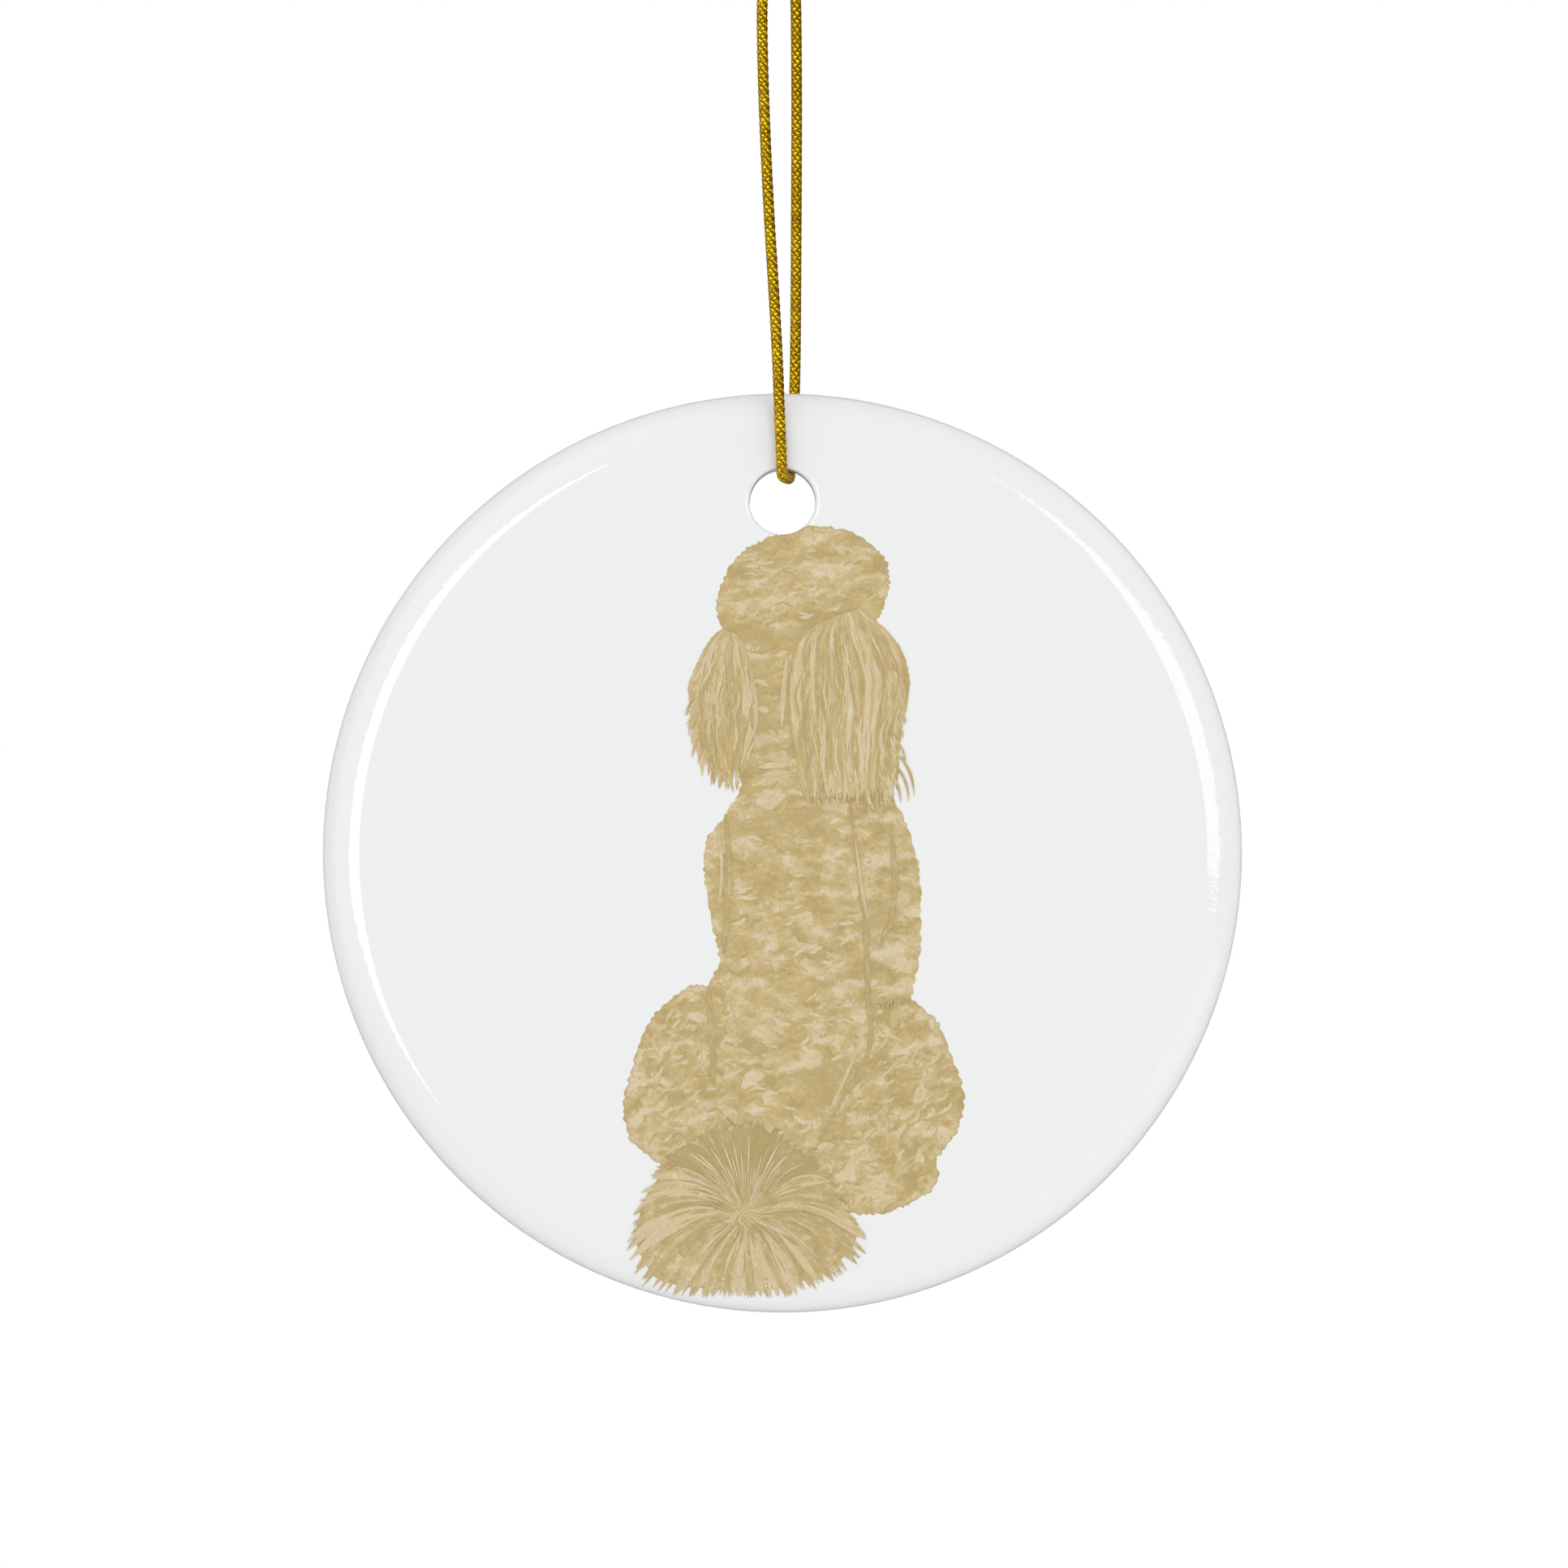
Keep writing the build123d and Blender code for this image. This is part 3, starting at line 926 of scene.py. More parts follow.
def smooth_line(points, count, closed=False):
    """Evenly spaced places on a smooth line through given points."""
    given = np.array(points, float)
    if closed:
        padded = np.vstack([given[-1], given, given[0], given[1]])
    else:
        padded = np.vstack([2 * given[0] - given[1], given, 2 * given[-1] - given[-2]])
    spans = len(padded) - 3
    fine = []
    for i in range(spans):
        p0, p1, p2, p3 = padded[i:i + 4]
        t = np.linspace(0, 1, 24, endpoint=False)[:, None]
        fine.append(0.5 * (
            2 * p1 + (p2 - p0) * t + (2 * p0 - 5 * p1 + 4 * p2 - p3) * t**2
            + (3 * p1 - p0 - 3 * p2 + p3) * t**3
        ))
    fine = np.vstack([*fine, padded[-2][None]])
    along = np.concatenate([[0], np.cumsum(np.linalg.norm(np.diff(fine, axis=0), axis=1))])
    wanted = np.linspace(0, along[-1], count, endpoint=not closed)
    return np.stack([np.interp(wanted, along, fine[:, k]) for k in range(2)], axis=1)


def woolly(line, pitch, depth, dice, closed=False, side=1.0):
    """Ruffles a line with uneven scallops and narrower pointed tufts, as wool stands out.

    The line is first drawn in by a share of the tufts' depth, so that it keeps its mean place.
    """
    ahead = np.roll(line, -1, axis=0) - np.roll(line, 1, axis=0)
    if not closed:
        ahead[0], ahead[-1] = line[1] - line[0], line[-1] - line[-2]
    ahead /= np.linalg.norm(ahead, axis=1)[:, None] + 1e-12
    outwards = np.stack([ahead[:, 1], -ahead[:, 0]], axis=1) * side
    steps = np.linalg.norm(np.diff(line, axis=0), axis=1)
    along = np.concatenate([[0], np.cumsum(steps)])
    push = np.zeros(len(line))
    at = 0.0
    while at < along[-1]:
        pointed = dice.random() < POINTED_TUFTS
        width = pitch * (dice.uniform(0.35, 0.7) if pointed else dice.uniform(0.6, 1.3))
        tall = depth * (dice.uniform(0.6, 1.2) if pointed else dice.uniform(0.3, 1.1))
        skew = dice.uniform(0.3, 0.8)
        t = np.clip((along - at) / width, 0, 1)
        warped = np.where(t < skew, t / skew / 2, 0.5 + (t - skew) / (1 - skew) / 2)
        push += tall * np.sin(pi * warped) ** 1.2 * (t > 0) * (t < 1)
        at += width * dice.uniform(0.75, 1.0)
    return line + outwards * (push[:, None] - 0.4 * depth)


def front_depth(x, z):
    """Depth of the glazed front at a place, from its flat over the hole's lip and the rim."""
    reach = np.hypot(x - DISC_X, z - DISC_Z)
    over = np.clip((reach - FLAT_RADIUS) / FRONT_ROUND, 0, 0.999)
    from_hole = np.hypot(x - DISC_X, z - HOLE_Z)
    into_lip = np.clip((HOLE_RADIUS + LIP_ROUND - from_hole) / LIP_ROUND, 0, 0.999)
    rim_drop = FRONT_ROUND * (1 - np.sqrt(1 - over**2))
    lip_drop = LIP_ROUND * (1 - np.sqrt(1 - into_lip**2))
    return FRONT_Y + rim_drop + lip_drop


def clear_of_hole(places):
    """Moves places that fall in the hole out to its edge."""
    away = places - np.array([0.0, HOLE_RISE / MM])
    reach = np.linalg.norm(away, axis=-1, keepdims=True)
    least = (HOLE_RADIUS + 0.03 * MM) / MM
    return np.where(reach < least, places + away * (least / np.maximum(reach, 1e-6) - 1), places)


def crease_shade(places):
    """How dark the drawing's creases make each place, from 0 to 1."""
    dark = np.zeros(places.shape[:-1])
    for strength, half_width, points in CREASES:
        line = smooth_line(points, 40)
        gaps = np.linalg.norm(places[..., None, :] - line, axis=-1).min(axis=-1)
        dark = np.maximum(dark, strength * np.exp(-((gaps / half_width) ** 2)))
    return dark


def store_coat(mesh, strands, shade):
    """Stores where each point of a mesh lies along its strands, and how dark it is."""
    flow = mesh.attributes.new("strand", "FLOAT_VECTOR", "POINT")
    flow.data.foreach_set("vector", np.asarray(strands, np.float32).ravel())
    dark = mesh.attributes.new("shade", "FLOAT", "POINT")
    dark.data.foreach_set("value", np.asarray(shade, np.float32))


def printed_layer(name, places, strands, shade, step, wool, closed=False):
    """A thin closed layer on the glaze from a grid of places, in millimetres.

    Rows of the grid run across it. A closed grid joins its last column to its first, and its
    first row is one point.
    """
    rows, columns = places.shape[:2]
    x = DISC_X + places[..., 0] * MM
    z = DISC_Z + places[..., 1] * MM
    depth = front_depth(x, z)
    front = np.stack([x, depth - step * STEP, z], axis=-1).reshape(-1, 3)
    back = np.stack([x, depth + LAYER_ROOT, z], axis=-1).reshape(-1, 3)
    total = rows * columns
    last = columns if closed else columns - 1
    faces = []
    for i in range(rows - 1):
        for j in range(last):
            m = (j + 1) % columns
            a, b = i * columns + j, i * columns + m
            c, d = b + columns, a + columns
            faces += [(a, b, c, d), (a + total, d + total, c + total, b + total)]
    foot = (rows - 1) * columns
    border = [(foot + j, foot + (j + 1) % columns) for j in range(last)]
    if not closed:
        border += [(j + 1, j) for j in range(last)]
        border += [(i * columns, (i + 1) * columns) for i in range(rows - 1)]
        border += [((i + 1) * columns + last, i * columns + last) for i in range(rows - 1)]
    faces += [(a, b, b + total, a + total) for a, b in border]
    mesh = bpy.data.meshes.new(name)
    mesh.from_pydata(np.vstack([front, back]).tolist(), [], faces)
    store_coat(mesh, np.tile(strands.reshape(-1, 3), (2, 1)), np.tile(shade.ravel(), 2))
    made = smooth_piece(name, mesh, radians(40), merge=0.0005 * MM)
    made.data.materials.append(wool)
    return made


def mass_layer(name, outline, heart, step, dice, pitch, depth, flow, seed, wool):
    """A woolly mass: rings of places that shrink from its ruffled outline to its heart.

    The flow is the lean of its strands in degrees, or None where they spread from the heart.
    """
    edge = smooth_line(outline, 420, closed=True)
    behind = np.roll(edge, -1, axis=0)
    turning = np.sum(edge[:, 0] * behind[:, 1] - behind[:, 0] * edge[:, 1])
    side = 1.0 if turning > 0 else -1.0
    edge = clear_of_hole(woolly(edge, pitch, depth, dice, closed=True, side=side))
    shares = np.linspace(0, 1, 26) ** 0.6
    heart = np.array(heart)
    places = heart + (edge[None] - heart) * shares[:, None, None]
    strands = np.zeros((*places.shape[:2], 3))
    if flow is None:
        angle = np.unwrap(np.arctan2(edge[:, 1] - heart[1], edge[:, 0] - heart[0]))
        strands[..., 0] = np.linalg.norm(places - heart, axis=-1)
        strands[..., 1] = angle[None] * 4.0
    else:
        lean = radians(flow)
        strands[..., 0] = places[..., 0] * cos(lean) + places[..., 1] * sin(lean)
        strands[..., 1] = places[..., 1] * cos(lean) - places[..., 0] * sin(lean)
    strands[..., 2] = seed
    from_edge = np.linalg.norm(places - edge[None], axis=-1)
    shade = np.maximum(crease_shade(places), 0.7 * np.exp(-((from_edge / 0.17) ** 2)))
    return printed_layer(name, places, strands, shade, step, wool, closed=True)


def fall_places(edges, rows, columns, dice, pitch, depth, locks=0, ragged=0.0):
    """Grid of places between a left and a right edge, both from the top down.

    The lower end is cut into pointed locks that stop short by up to the ragged share.
    """
    left, right = (smooth_line(edge, rows) for edge in edges)
    ruffled = [woolly(left, pitch, depth, dice), woolly(right, pitch, depth, dice, side=-1.0)]
    share = np.linspace(0, 1, columns)
    ends = np.ones(columns)
    if locks:
        stops = np.sort([dice.uniform(0, 1) for _ in range(locks)] + [0, 1])
        for low, high in zip(stops, stops[1:]):
            inside = (share >= low) & (share <= high)
            along = (share[inside] - low) / max(high - low, 1e-6)
            ends[inside] = 1 - ragged * (np.abs(along - 0.6) * 1.3 + dice.uniform(0, 0.4))
    row = np.arange(rows, dtype=float)
    grid = np.zeros((rows, columns, 2))
    for j in range(columns):
        # Only the outermost columns are ruffled, so that no two columns cross
        near = ruffled[0] if j == 0 else left
        far = ruffled[1] if j == columns - 1 else right
        for k in range(2):
            first = np.interp(row * ends[j], row, near[:, k])
            last = np.interp(row * ends[j], row, far[:, k])
            grid[:, j, k] = first + (last - first) * share[j]
    return grid


def stroke_tree():
    """Flat brush strokes: each line is swept with a thin bar as wide as the line's radius."""
    tree, given, out = new_tree(
        "brush_strokes", "GeometryNodeTree",
        {"Lines": "Geometry", "Flatness": "Float", "Material": "Material"},
        {"Geometry": "Geometry"},
    )
    values = {"Curve": given["Lines"], "Normal": (0.0, -1.0, 0.0)}
    turned = node(tree, "GeometryNodeSetCurveNormal", values, mode="FREE")
    values = {"Width": given["Flatness"], "Height": 2.0}
    section = node(tree, "GeometryNodeCurvePrimitiveQuadrilateral", values, mode="RECTANGLE")
    swept = node(tree, "GeometryNodeCurveToMesh", {
        "Curve": turned.outputs["Curve"], "Profile Curve": section.outputs["Curve"],
        "Scale": node(tree, "GeometryNodeInputRadius").outputs["Radius"], "Fill Caps": True,
    })
    values = {"Geometry": swept.outputs["Mesh"], "Shade Smooth": False}
    flat = node(tree, "GeometryNodeSetShadeSmooth", values)
    return finish_tree(tree, out, flat.outputs["Geometry"], given["Material"])


def stroke_piece(name, strokes, step, material):
    """Brush strokes on the glaze. A stroke is (places, half widths, tone), in millimetres.

    A tone below zero is paler than the coat around it, and one above zero is darker.
    """
    data = bpy.data.curves.new(name, "CURVE")
    data.dimensions = "3D"
    for places, widths, _ in strokes:
        line = data.splines.new("POLY")
        line.points.add(len(places) - 1)
        for point, (x, z), width in zip(line.points, places, widths):
            point.co = (DISC_X + x * MM, 0.0, DISC_Z + z * MM, 1.0)
            point.radius = max(width, THINNEST) * MM
    tree = bpy.data.node_groups.get("brush_strokes") or stroke_tree()
    values = {"Flatness": 0.4, "Material": material}
    made = grown(placed(name + "_lines", data), tree, values, name)
    mesh = made.data
    sizes = [4 * len(places) for places, _, _ in strokes]
    if sum(sizes) != len(mesh.vertices):
        raise RuntimeError(f"{name} has {len(mesh.vertices)} vertices, not {sum(sizes)}")

    # Near sides of the bars take the strokes' heights, and far sides sink into the glaze
    places = np.zeros(len(mesh.vertices) * 3, np.float32)
    mesh.vertices.foreach_get("co", places)
    places = places.reshape(-1, 3).astype(float)
    levels = np.repeat(free_levels(strokes), sizes)
    above = np.where(places[:, 1] < 0, step * STEP + LEVEL * levels, -STROKE_ROOT)
    places[:, 1] = front_depth(places[:, 0], places[:, 2]) - above
    mesh.vertices.foreach_set("co", places.astype(np.float32).ravel())
    mottles = np.repeat([own_mottle(i) for i in range(len(strokes))], sizes)
    strands = np.stack([places[:, 0] / MM, places[:, 2] / MM, mottles], axis=1)
    store_coat(mesh, strands, np.repeat([tone for _, _, tone in strokes], sizes))
    mesh.update()
    return made


def free_levels(strokes):
    """A level for each stroke, so that strokes which cross lie at different levels."""
    reach = [max(s[1]) + 0.03 for s in strokes]
    low = np.array([s[0].min(axis=0) - r for s, r in zip(strokes, reach)])
    high = np.array([s[0].max(axis=0) + r for s, r in zip(strokes, reach)])
    levels = []
    for i, (places, _, _) in enumerate(strokes):
        near = np.flatnonzero((low[:i] < high[i]).all(axis=1) & (high[:i] > low[i]).all(axis=1))
        taken = set()
        for k in near:
            others = strokes[k][0]
            gaps = np.linalg.norm(places[:, None] - others[None], axis=-1)
            # Half the spacing of a stroke's places is allowed for too
            spacing = np.linalg.norm(places[1] - places[0]) + np.linalg.norm(others[1] - others[0])
            if gaps.min() < reach[i] + reach[k] + spacing / 2:
                taken.add(levels[k])
        levels.append(next(n for n in range(len(strokes)) if n not in taken))
    return levels


def own_mottle(index):
    """A steady spread of numbers from 0 to 40, so that each stroke has its own mottle."""
    return index * 0.618034 % 1.0 * 40.0


def tapered(count, width, root=0.35):
    """Half widths of a stroke that swells from its root and ends in a short point."""
    t = np.linspace(0, 1, count)
    return width * (root + (1 - root) * np.sin(pi * np.minimum(t * 1.2, 1) * 0.5)) * (1 - t**4)


def brushed(count, width):
    """Half widths of a stroke that is pointed at both ends."""
    return width * np.sin(pi * np.linspace(0, 1, count)) ** 0.6


def brush_line(points, count, half_width, tone, waves=0.0):
    """A stroke along a smooth line, which waves to its sides where asked."""
    line = smooth_line(points, count)
    if waves:
        ahead = np.gradient(line, axis=0)
        ahead /= np.linalg.norm(ahead, axis=1)[:, None]
        place = np.arange(count)
        aside = waves * (np.sin(place * 0.7) + np.sin(place * 0.31))
        line += np.stack([-ahead[:, 1], ahead[:, 0]], axis=1) * aside[:, None]
    return line, brushed(count, half_width), tone


def blade(root, tip, sag, width, tone, count=9):
    """One pointed lock of hair from its root to its tip, bowed to one side."""
    root, tip = np.array(root, float), np.array(tip, float)
    run = tip - root
    aside = np.array([run[1], -run[0]]) * sag
    t = np.linspace(0, 1, count)[:, None]
    places = root + run * t + aside * (4 * t * (1 - t))
    return places, tapered(count, width), tone


def ear_strokes(edges, dice, number, width, wave):
    """Wavy strokes that run down a fall of hair between its edges."""
    rows, count = 60, 18
    left, right = smooth_line(edges[0], rows), smooth_line(edges[1], rows)
    row = np.arange(rows)
    strokes = []
    for _ in range(number):
        across = dice.uniform(0.03, 0.97)
        first = dice.uniform(0.03, 0.7)
        last = min(0.99, first + dice.uniform(0.15, 0.42))
        t = np.linspace(first, last, count)
        phase, amount = dice.uniform(0, 2 * pi), wave * dice.uniform(0.4, 1.3)
        slide = across + amount * np.sin(t * dice.uniform(16, 30) + phase)
        down = t * (rows - 1)
        base = np.stack([np.interp(down, row, left[:, k]) for k in range(2)], axis=1)
        far = np.stack([np.interp(down, row, right[:, k]) for k in range(2)], axis=1)
        places = base + (far - base) * slide[:, None]
        half_widths = brushed(count, width * dice.uniform(0.5, 1.3))
        strokes.append((places, half_widths, dice.choice(EAR_TONES)))
    return strokes


def fringe(line, dice, number, run, length, width, tones):
    """Pointed locks that hang from a line of roots. The run is their direction in degrees."""
    roots = smooth_line(line, 100)
    locks = []
    for i in range(number):
        at = (i + dice.uniform(0.1, 0.9)) / number
        root = roots[int(at * 99)]
        turn = radians(run[0] + (run[1] - run[0]) * at + dice.uniform(-9, 9))
        reach = length * dice.uniform(0.55, 1.25)
        tip = root + reach * np.array([cos(turn), sin(turn)])
        start = root - 0.8 * (tip - root)
        sag, half_width = dice.uniform(-0.06, 0.1), width * dice.uniform(0.7, 1.2)
        locks.append(blade(start, tip, sag, half_width, dice.choice(tones)))
    return locks


def tail_strokes(dice, number, spread, shares, width, tones, overhang=1.0):
    """Locks that spring from the whorl of the tail and droop towards its outline.

    The spread is the turn of the first and last lock, in degrees. The shares say between
    which parts of the way out a lock starts, and between which it ends.
    """
    edge = smooth_line(TAIL, 400, closed=True)
    heart = np.array(TAIL_WHORL)
    away = edge - heart
    angles = np.degrees(np.arctan2(away[:, 1], away[:, 0]))
    count = 16
    locks = []
    for i in range(number):
        turn = spread[0] + (spread[1] - spread[0]) * (i + dice.uniform(0, 1)) / number
        turn = (turn + 180) % 360 - 180
        nearest = away[np.abs(angles - turn).argmin()]
        tip = heart + nearest * overhang * dice.uniform(0.965, 1.02)
        run = tip - heart
        control = heart + run * 0.5 + np.array([0.0, 0.3 * abs(run[0])])
        tip = tip - np.array([0.0, 0.08 * abs(run[0])])
        first, last = dice.uniform(*shares[0]), dice.uniform(*shares[1])
        t = np.linspace(first, last, count)[:, None]
        places = heart * (1 - t) ** 2 + control * 2 * t * (1 - t) + tip * t**2
        swell = width * dice.uniform(0.5, 1.3)
        half_widths = tapered(count, swell, 0.2) * np.clip(t[:, 0] * 1.6, 0.15, 1)
        locks.append((places, half_widths, dice.choice(tones)))
    return locks


def curls(outline, dice, number, lean, width, tones):
    """Short wavy dabs of the brush, scattered over a mass."""
    ring = smooth_line(outline, 160, closed=True)
    low, high = ring.min(axis=0), ring.max(axis=0)
    ahead = np.roll(ring, -1, axis=0)
    count = 9
    dabs = []
    while len(dabs) < number:
        x, z = dice.uniform(low[0], high[0]), dice.uniform(low[1], high[1])
        span = (ring[:, 1] > z) != (ahead[:, 1] > z)
        start, end = ring[span], ahead[span]
        share = (z - start[:, 1]) / (end[:, 1] - start[:, 1])
        crossings = start[:, 0] + share * (end[:, 0] - start[:, 0])
        if (crossings > x).sum() % 2 == 0:
            continue
        gap = np.hypot(ring[:, 0] - x, ring[:, 1] - z).min()
        size = dice.uniform(0.7, 1.6)
        if gap < size * 0.6:
            continue
        turn = radians(lean + dice.uniform(-35, 35))
        t = np.linspace(-0.5, 0.5, count)
        bow = dice.uniform(-0.2, 0.2) * size
        off = bow * (1 - (2 * t) ** 2) + 0.03 * size * np.sin(t * 11 + dice.uniform(0, 6))
        run = t * size
        places = np.stack([
            x + run * cos(turn) - off * sin(turn), z + run * sin(turn) + off * cos(turn),
        ], axis=1)
        half_width = min(width * dice.uniform(0.5, 1.4), 0.15 * size)
        dabs.append((places, brushed(count, half_width), dice.choice(tones)))
    return dabs


def back_piece(dice, wool):
    """The long back, from the neck down under the haunches and the tail."""
    places = fall_places(BACK, rows=210, columns=110, dice=dice, pitch=1.3, depth=0.2)
    strands = np.zeros((*places.shape[:2], 3))
    strands[..., :2] = places
    return printed_layer("print_back", places, strands, crease_shade(places), BACK_STEP, wool)


def ear_piece(name, edges, seed, dice, wool):
    """An ear: a fall of hair whose lower end is cut into locks."""
    rows, columns = 120, 90
    places = fall_places(edges, rows, columns, dice, 0.9, 0.08, locks=15, ragged=0.13)
    breadth = np.linalg.norm(places[rows // 2, -1] - places[rows // 2, 0])
    strands = np.zeros((rows, columns, 3))
    strands[..., 0] = np.linspace(0, 12, rows)[:, None]
    strands[..., 1] = np.linspace(0, breadth, columns)
    strands[..., 2] = seed
    return printed_layer(name, places, strands, crease_shade(places) * 0.3, EAR_STEP, wool)


def drawn_lines():
    """The lines of the drawing: dark creases, pale lines and the pale dabs on the head."""
    lines = []
    for strength, half_width, points in CREASES:
        if half_width < 0.5:
            lines.append(brush_line(points, 60, half_width * 0.75, strength * 0.8, waves=0.05))
    for half_width, points in PALE_LINES:
        lines.append(brush_line(points, 30, half_width, -0.55))
    for half_width, start, end in PALE_DABS:
        middle = ((start[0] + end[0]) / 2, (start[1] + end[1]) / 2 + 0.12)
        lines.append(brush_line([start, middle, end], 12, half_width, -0.6))
    return lines


class ORNAMENT_OT_dog(bpy.types.Operator):
    """Print the sitting dog on the glaze"""

    bl_idname = "ornament.dog"
    bl_label = "Printed Dog"

    def execute(self, context):
        groups = {
            "glaze_ripple": bpy.data.node_groups.get("glaze_ripple") or glaze_ripple_group(),
            "wool_tones": wool_tones_group(),
        }
        wools = {name: printed_wool(name, groups, patch, curl) for name, patch, curl in WOOLS}
        drawn = wools["drawn_hairs"]
        dice = random.Random(11)
        layers = [back_piece(dice, wools["curly_wool"])]
        for name, outline, heart, step, depth, flow, seed, wool in MASSES:
            layers.append(mass_layer(
                name, outline, heart, step, dice, pitch=1.0, depth=depth, flow=flow, seed=seed,
                wool=wools[wool],
            ))
        dabs = []
        for outline, number, lean, half_width, tones in CURLS:
            dabs += curls(outline, dice, number, lean, half_width, tones)
        dabs = [dab for dab in dabs if crease_shade(dab[0]).max() < 0.35]
        layers.append(stroke_piece("print_curls", dabs, CURL_STEP, drawn))
        layers.append(stroke_piece("print_lines", drawn_lines(), LINE_STEP, drawn))
        for name, edges, seed in (("left", LEFT_EAR, 21.0), ("right", RIGHT_EAR, 25.0)):
            wool = wools["combed_hair"]
            layers.append(ear_piece(f"print_{name}_ear", edges, seed, dice, wool))
        hairs = ear_strokes(RIGHT_EAR, dice, number=130, width=0.1, wave=0.016)
        hairs += ear_strokes(LEFT_EAR, dice, number=85, width=0.085, wave=0.03)
        for line, number, run, length, half_width, tones in FRINGES:
            hairs += fringe(line, dice, number, run, length, half_width, tones)
        for root, tip in FLICKS:
            hairs.append(blade(root, tip, sag=-0.12, width=0.13, tone=0.1, count=14))
        layers.append(stroke_piece("print_ear_hair", hairs, HAIR_STEP, drawn))
        # The tail's locks make its outline, so the mass under them is drawn in
        heart = np.array(TAIL_WHORL)
        inner = heart + (np.array(TAIL) - heart) * (0.945, 0.95)
        layers.append(mass_layer(
            "print_tail", inner, heart, TAIL_STEP, dice, pitch=0.8, depth=0.02, flow=None,
            seed=29.0, wool=wools["combed_hair"],
        ))
        for name, step, rounds in TAIL_HAIR:
            locks = []
            for values in rounds:
                locks += tail_strokes(dice, *values)
            layers.append(stroke_piece(name, locks, step, drawn))
        for piece in layers:
            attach(piece, "ornament")
        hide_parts("dog_print")
        return {"FINISHED"}


# ---------------------------------------------------------------- the stage

VIEW_HEIGHT = 5.26 * MM  # the camera looks at this height above the disc's centre
VIEW_SIDE = 0.12 * MM
VIEW_WIDTH = 119.5 * MM  # what the camera sees across, at the disc
LENS = 120.0
SENSOR = 36.0
BOX_DISTANCE = 0.9
FLOOR_RADIUS = 0.8
FLOOR_HEIGHT = -0.25
WHITE = (1.0, 1.0, 1.0, 1.0)

# Soft boxes: (name, turn, rise, width, height, radiance, twist, what they shine on)
SOFT_BOXES = (
    ("left_box", -21.0, 4.4, 0.41, 0.34, 5.5, (22.6, 6.5, -8.6), "glossy"),
    ("right_box", 30.0, 10.5, 0.62, 0.42, 3.0, (12.3, 4.8, -2.4), "glossy"),
    ("key", 30.0, 12.0, 0.5, 0.5, 0.75, (0.0, 0.0, 0.0), "diffuse"),
)


def soft_box(name, turn, rise, width, height, radiance, twist, shines_on):
    """A rectangular light towards a turn and rise from the disc's centre, in degrees.

    The twist turns it about its own upright, level and facing axes, in degrees.
    """
    data = bpy.data.lights.new(name, "AREA")
    data.shape = "RECTANGLE"
    data.size, data.size_y = width, height
    data.energy = radiance * pi * width * height
    made = placed(name, data)
    side, up = radians(turn), radians(rise)
    away = Vector((sin(side) * cos(up), -cos(side) * cos(up), sin(up)))
    made.location = Vector((DISC_X, FRONT_Y, DISC_Z)) + away * BOX_DISTANCE
    upright, level, facing = (radians(a) for a in twist)
    made.rotation_mode = "QUATERNION"
    made.rotation_quaternion = (
        away.to_track_quat("Z", "Y") @ Quaternion((0, 1, 0), upright)
        @ Quaternion((1, 0, 0), level) @ Quaternion((0, 0, 1), facing)
    )
    made.visible_camera = False
    made.visible_glossy = shines_on == "glossy"
    made.visible_diffuse = shines_on == "diffuse"


def mixed(tree, share, first, second):
    """Mixes two shaders by a socket, as an output socket."""
    made = node(tree, "ShaderNodeMixShader", {"Fac": share, 1: first, 2: second})
    return made.outputs["Shader"]


def studio_world():
    """Even white surround. Glossy things see less of it to their right and behind them."""
    world = bpy.data.worlds.new("studio")
    bpy.context.scene.world = world
    world.use_nodes = True
    tree = world.node_tree
    tree.nodes.clear()
    path = node(tree, "ShaderNodeLightPath").outputs
    facing = node(tree, "ShaderNodeTexCoord").outputs["Generated"]
    parts = node(tree, "ShaderNodeSeparateXYZ", {"Vector": facing}).outputs
    matt = ramp(tree, parts["Y"], -0.5, 0.5, 0.975, 1.0)
    sideways = ramp(tree, parts["X"], -0.8, 0.5, 1.0, 0.05)
    before = ramp(tree, parts["Y"], -0.2, 0.2, 1.0, 0.15)
    sideways = maths(tree, "MULTIPLY", sideways, before)
    behind = maths(tree, "MULTIPLY", ramp(tree, parts["Y"], 0.0, 0.6), 0.2)
    glossy = maths(tree, "ADD", sideways, behind)
    values = {0: path["Is Glossy Ray"], 2: matt, 3: glossy}
    lit = node(tree, "ShaderNodeMix", values, data_type="FLOAT").outputs[0]
    surround = node(tree, "ShaderNodeBackground", {"Color": WHITE, "Strength": lit}).outputs[0]
    seen = node(tree, "ShaderNodeBackground", {"Color": WHITE, "Strength": 1.0}).outputs[0]
    chosen = mixed(tree, path["Is Camera Ray"], surround, seen)
    node(tree, "ShaderNodeOutputWorld", {"Surface": chosen})


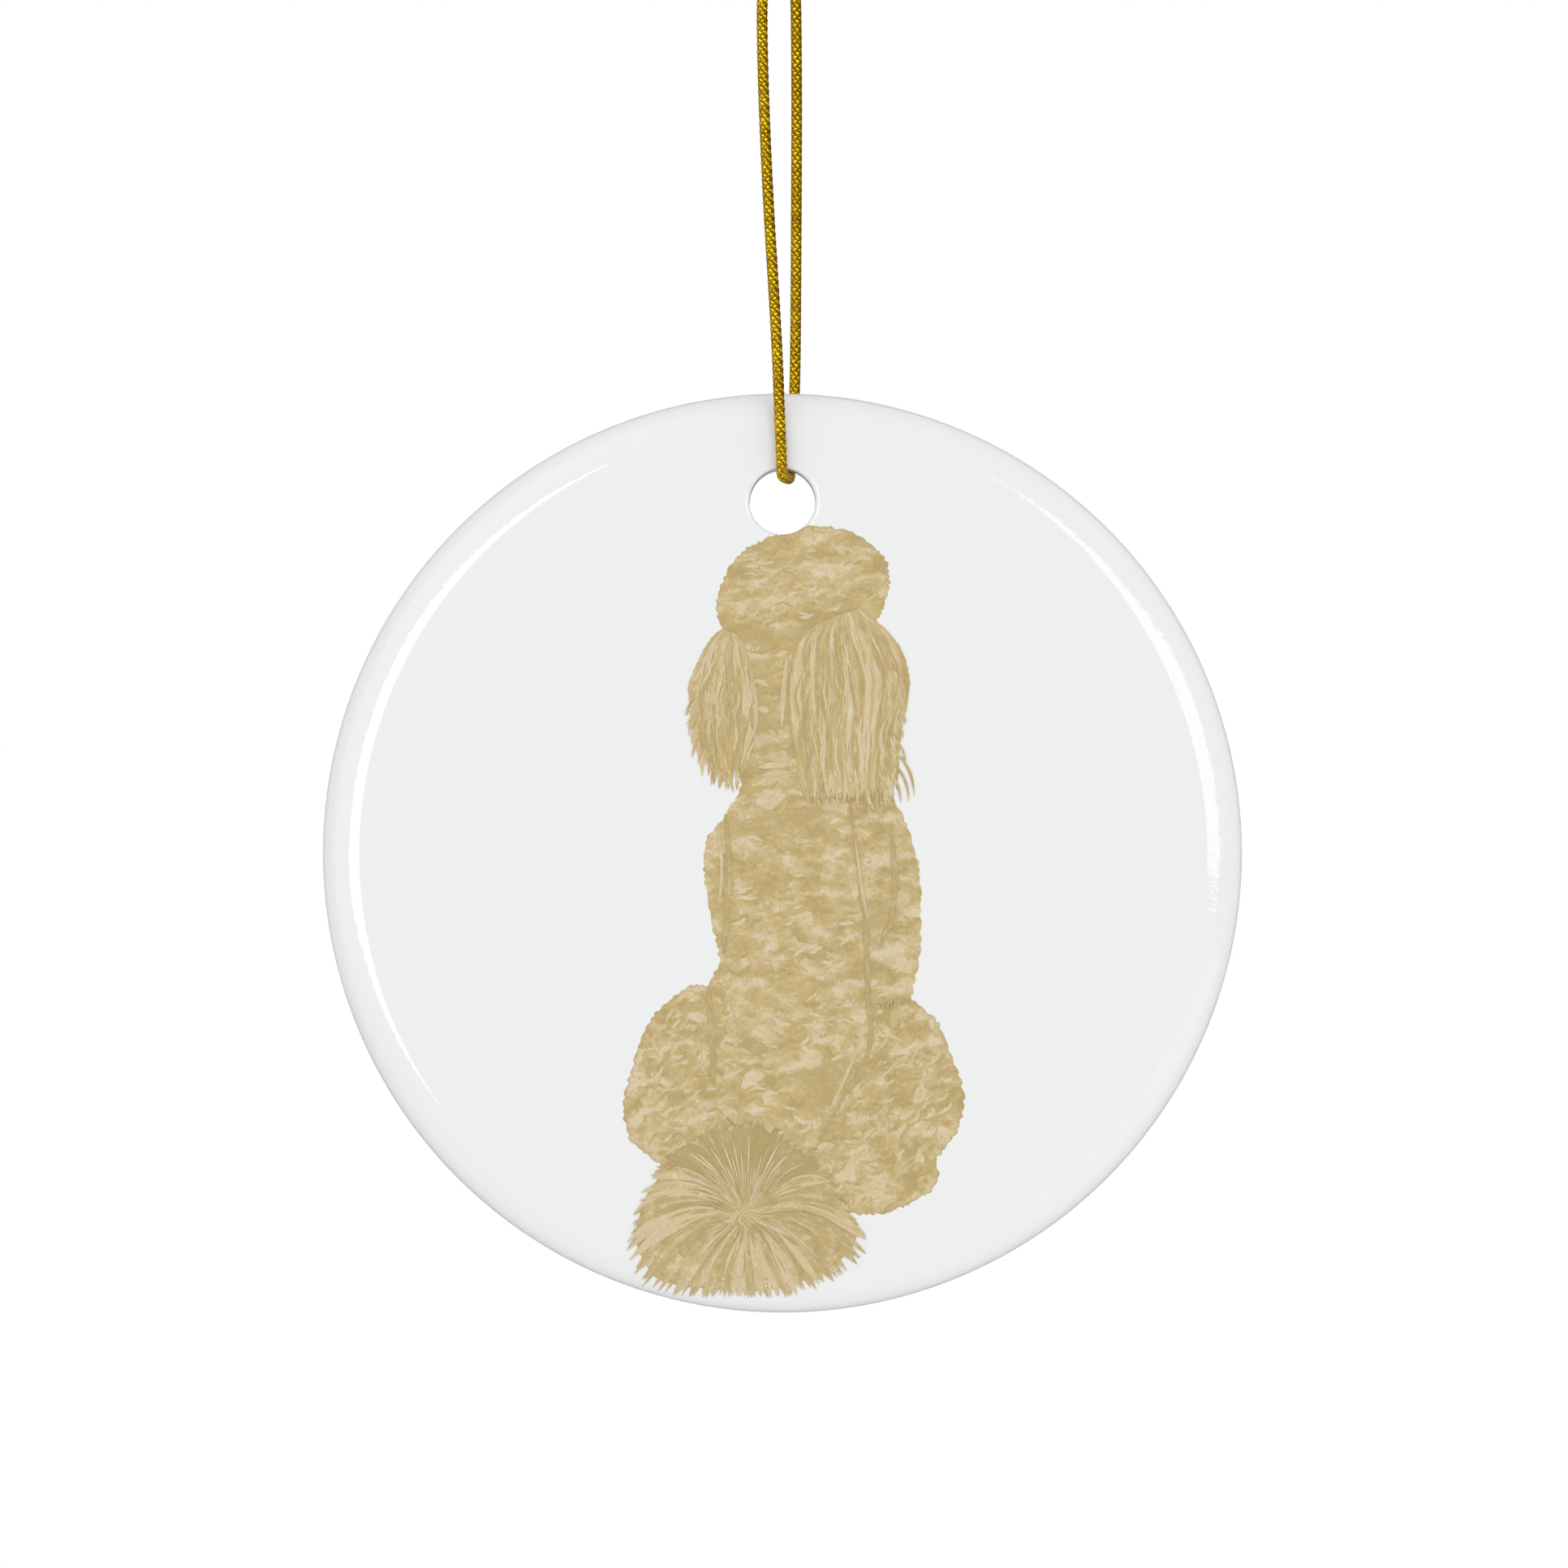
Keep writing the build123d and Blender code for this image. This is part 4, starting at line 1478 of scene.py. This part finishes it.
def pale_floor():
    """A plain round floor well below the ornament, white towards its edge.

    Glossy things see it grey, and dimmest where it lies behind them.
    """
    mesh = bpy.data.meshes.new("floor")
    work = bmesh.new()
    bmesh.ops.create_circle(work, cap_ends=True, segments=96, radius=FLOOR_RADIUS)
    work.to_mesh(mesh)
    work.free()
    floor = placed("floor", mesh)
    floor.location = (0.0, 0.0, FLOOR_HEIGHT)
    made, tree, shader = new_material("pale_floor")
    shader.inputs["Base Color"].default_value = (0.9, 0.9, 0.9, 1.0)
    shader.inputs["Roughness"].default_value = 0.8
    place = node(tree, "ShaderNodeTexCoord").outputs["Object"]
    outer = ramp(tree, vector_maths(tree, "LENGTH", place), 0.15, FLOOR_RADIUS * 0.9)
    glow = node(tree, "ShaderNodeEmission", {"Color": WHITE, "Strength": 1.0}).outputs[0]
    plain = mixed(tree, outer, shader.outputs["BSDF"], glow)
    depth = node(tree, "ShaderNodeSeparateXYZ", {"Vector": place}).outputs["Y"]
    grey = ramp(tree, depth, -0.06, 0.14, 0.75, 0.12)
    dim = node(tree, "ShaderNodeEmission", {"Color": WHITE, "Strength": grey}).outputs[0]
    path = node(tree, "ShaderNodeLightPath").outputs
    surface = mixed(tree, path["Is Glossy Ray"], plain, dim)
    feed(tree, tree.nodes["Material Output"].inputs["Surface"], surface)
    mesh.materials.append(made)


class ORNAMENT_OT_stage(bpy.types.Operator):
    """Set the camera, the soft lights and the pale floor"""

    bl_idname = "ornament.stage"
    bl_label = "Stage"

    def execute(self, context):
        scene = context.scene
        scene.view_settings.view_transform = "Standard"
        scene.view_settings.look = "None"
        data = bpy.data.cameras.new("camera")
        data.lens = LENS
        data.sensor_width = SENSOR
        data.clip_start, data.clip_end = 0.01, 20.0
        camera = placed("camera", data)
        away = VIEW_WIDTH * LENS / SENSOR
        camera.location = (DISC_X + VIEW_SIDE, WIDEST_Y - away, DISC_Z + VIEW_HEIGHT)
        camera.rotation_euler = (radians(90), 0.0, 0.0)
        scene.camera = camera
        for values in SOFT_BOXES:
            soft_box(*values)
        studio_world()
        pale_floor()
        return {"FINISHED"}


class VIEW3D_PT_ornament(bpy.types.Panel):
    """Settings and makers of the ornament"""

    bl_label = "Ceramic Ornament"
    bl_idname = "VIEW3D_PT_ornament"
    bl_space_type = "VIEW_3D"
    bl_region_type = "UI"
    bl_category = "Ornament"

    def draw(self, context):
        scene = context.scene
        for group in (scene.ornament_cord, scene.ornament_glaze, scene.ornament_print):
            box = self.layout.box()
            for name in group.__annotations__:
                box.prop(group, name)
        for maker in MAKERS:
            self.layout.operator(maker.bl_idname)


MAKERS = (ORNAMENT_OT_stage, ORNAMENT_OT_cord, ORNAMENT_OT_disc, ORNAMENT_OT_dog)
GROUPS = {
    "ornament_cord": CordSettings,
    "ornament_glaze": GlazeSettings,
    "ornament_print": PrintSettings,
}


def register():
    for kind in (*GROUPS.values(), *MAKERS, VIEW3D_PT_ornament):
        bpy.utils.register_class(kind)
    for name, kind in GROUPS.items():
        setattr(bpy.types.Scene, name, PointerProperty(type=kind))


def unregister():
    for name in GROUPS:
        delattr(bpy.types.Scene, name)
    for kind in reversed((*GROUPS.values(), *MAKERS, VIEW3D_PT_ornament)):
        bpy.utils.unregister_class(kind)


def main():
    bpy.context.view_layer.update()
    register()
    bpy.ops.ornament.stage()
    bpy.ops.ornament.cord()
    bpy.ops.ornament.disc()
    bpy.ops.ornament.dog()


if __name__ == "__main__":
    main()
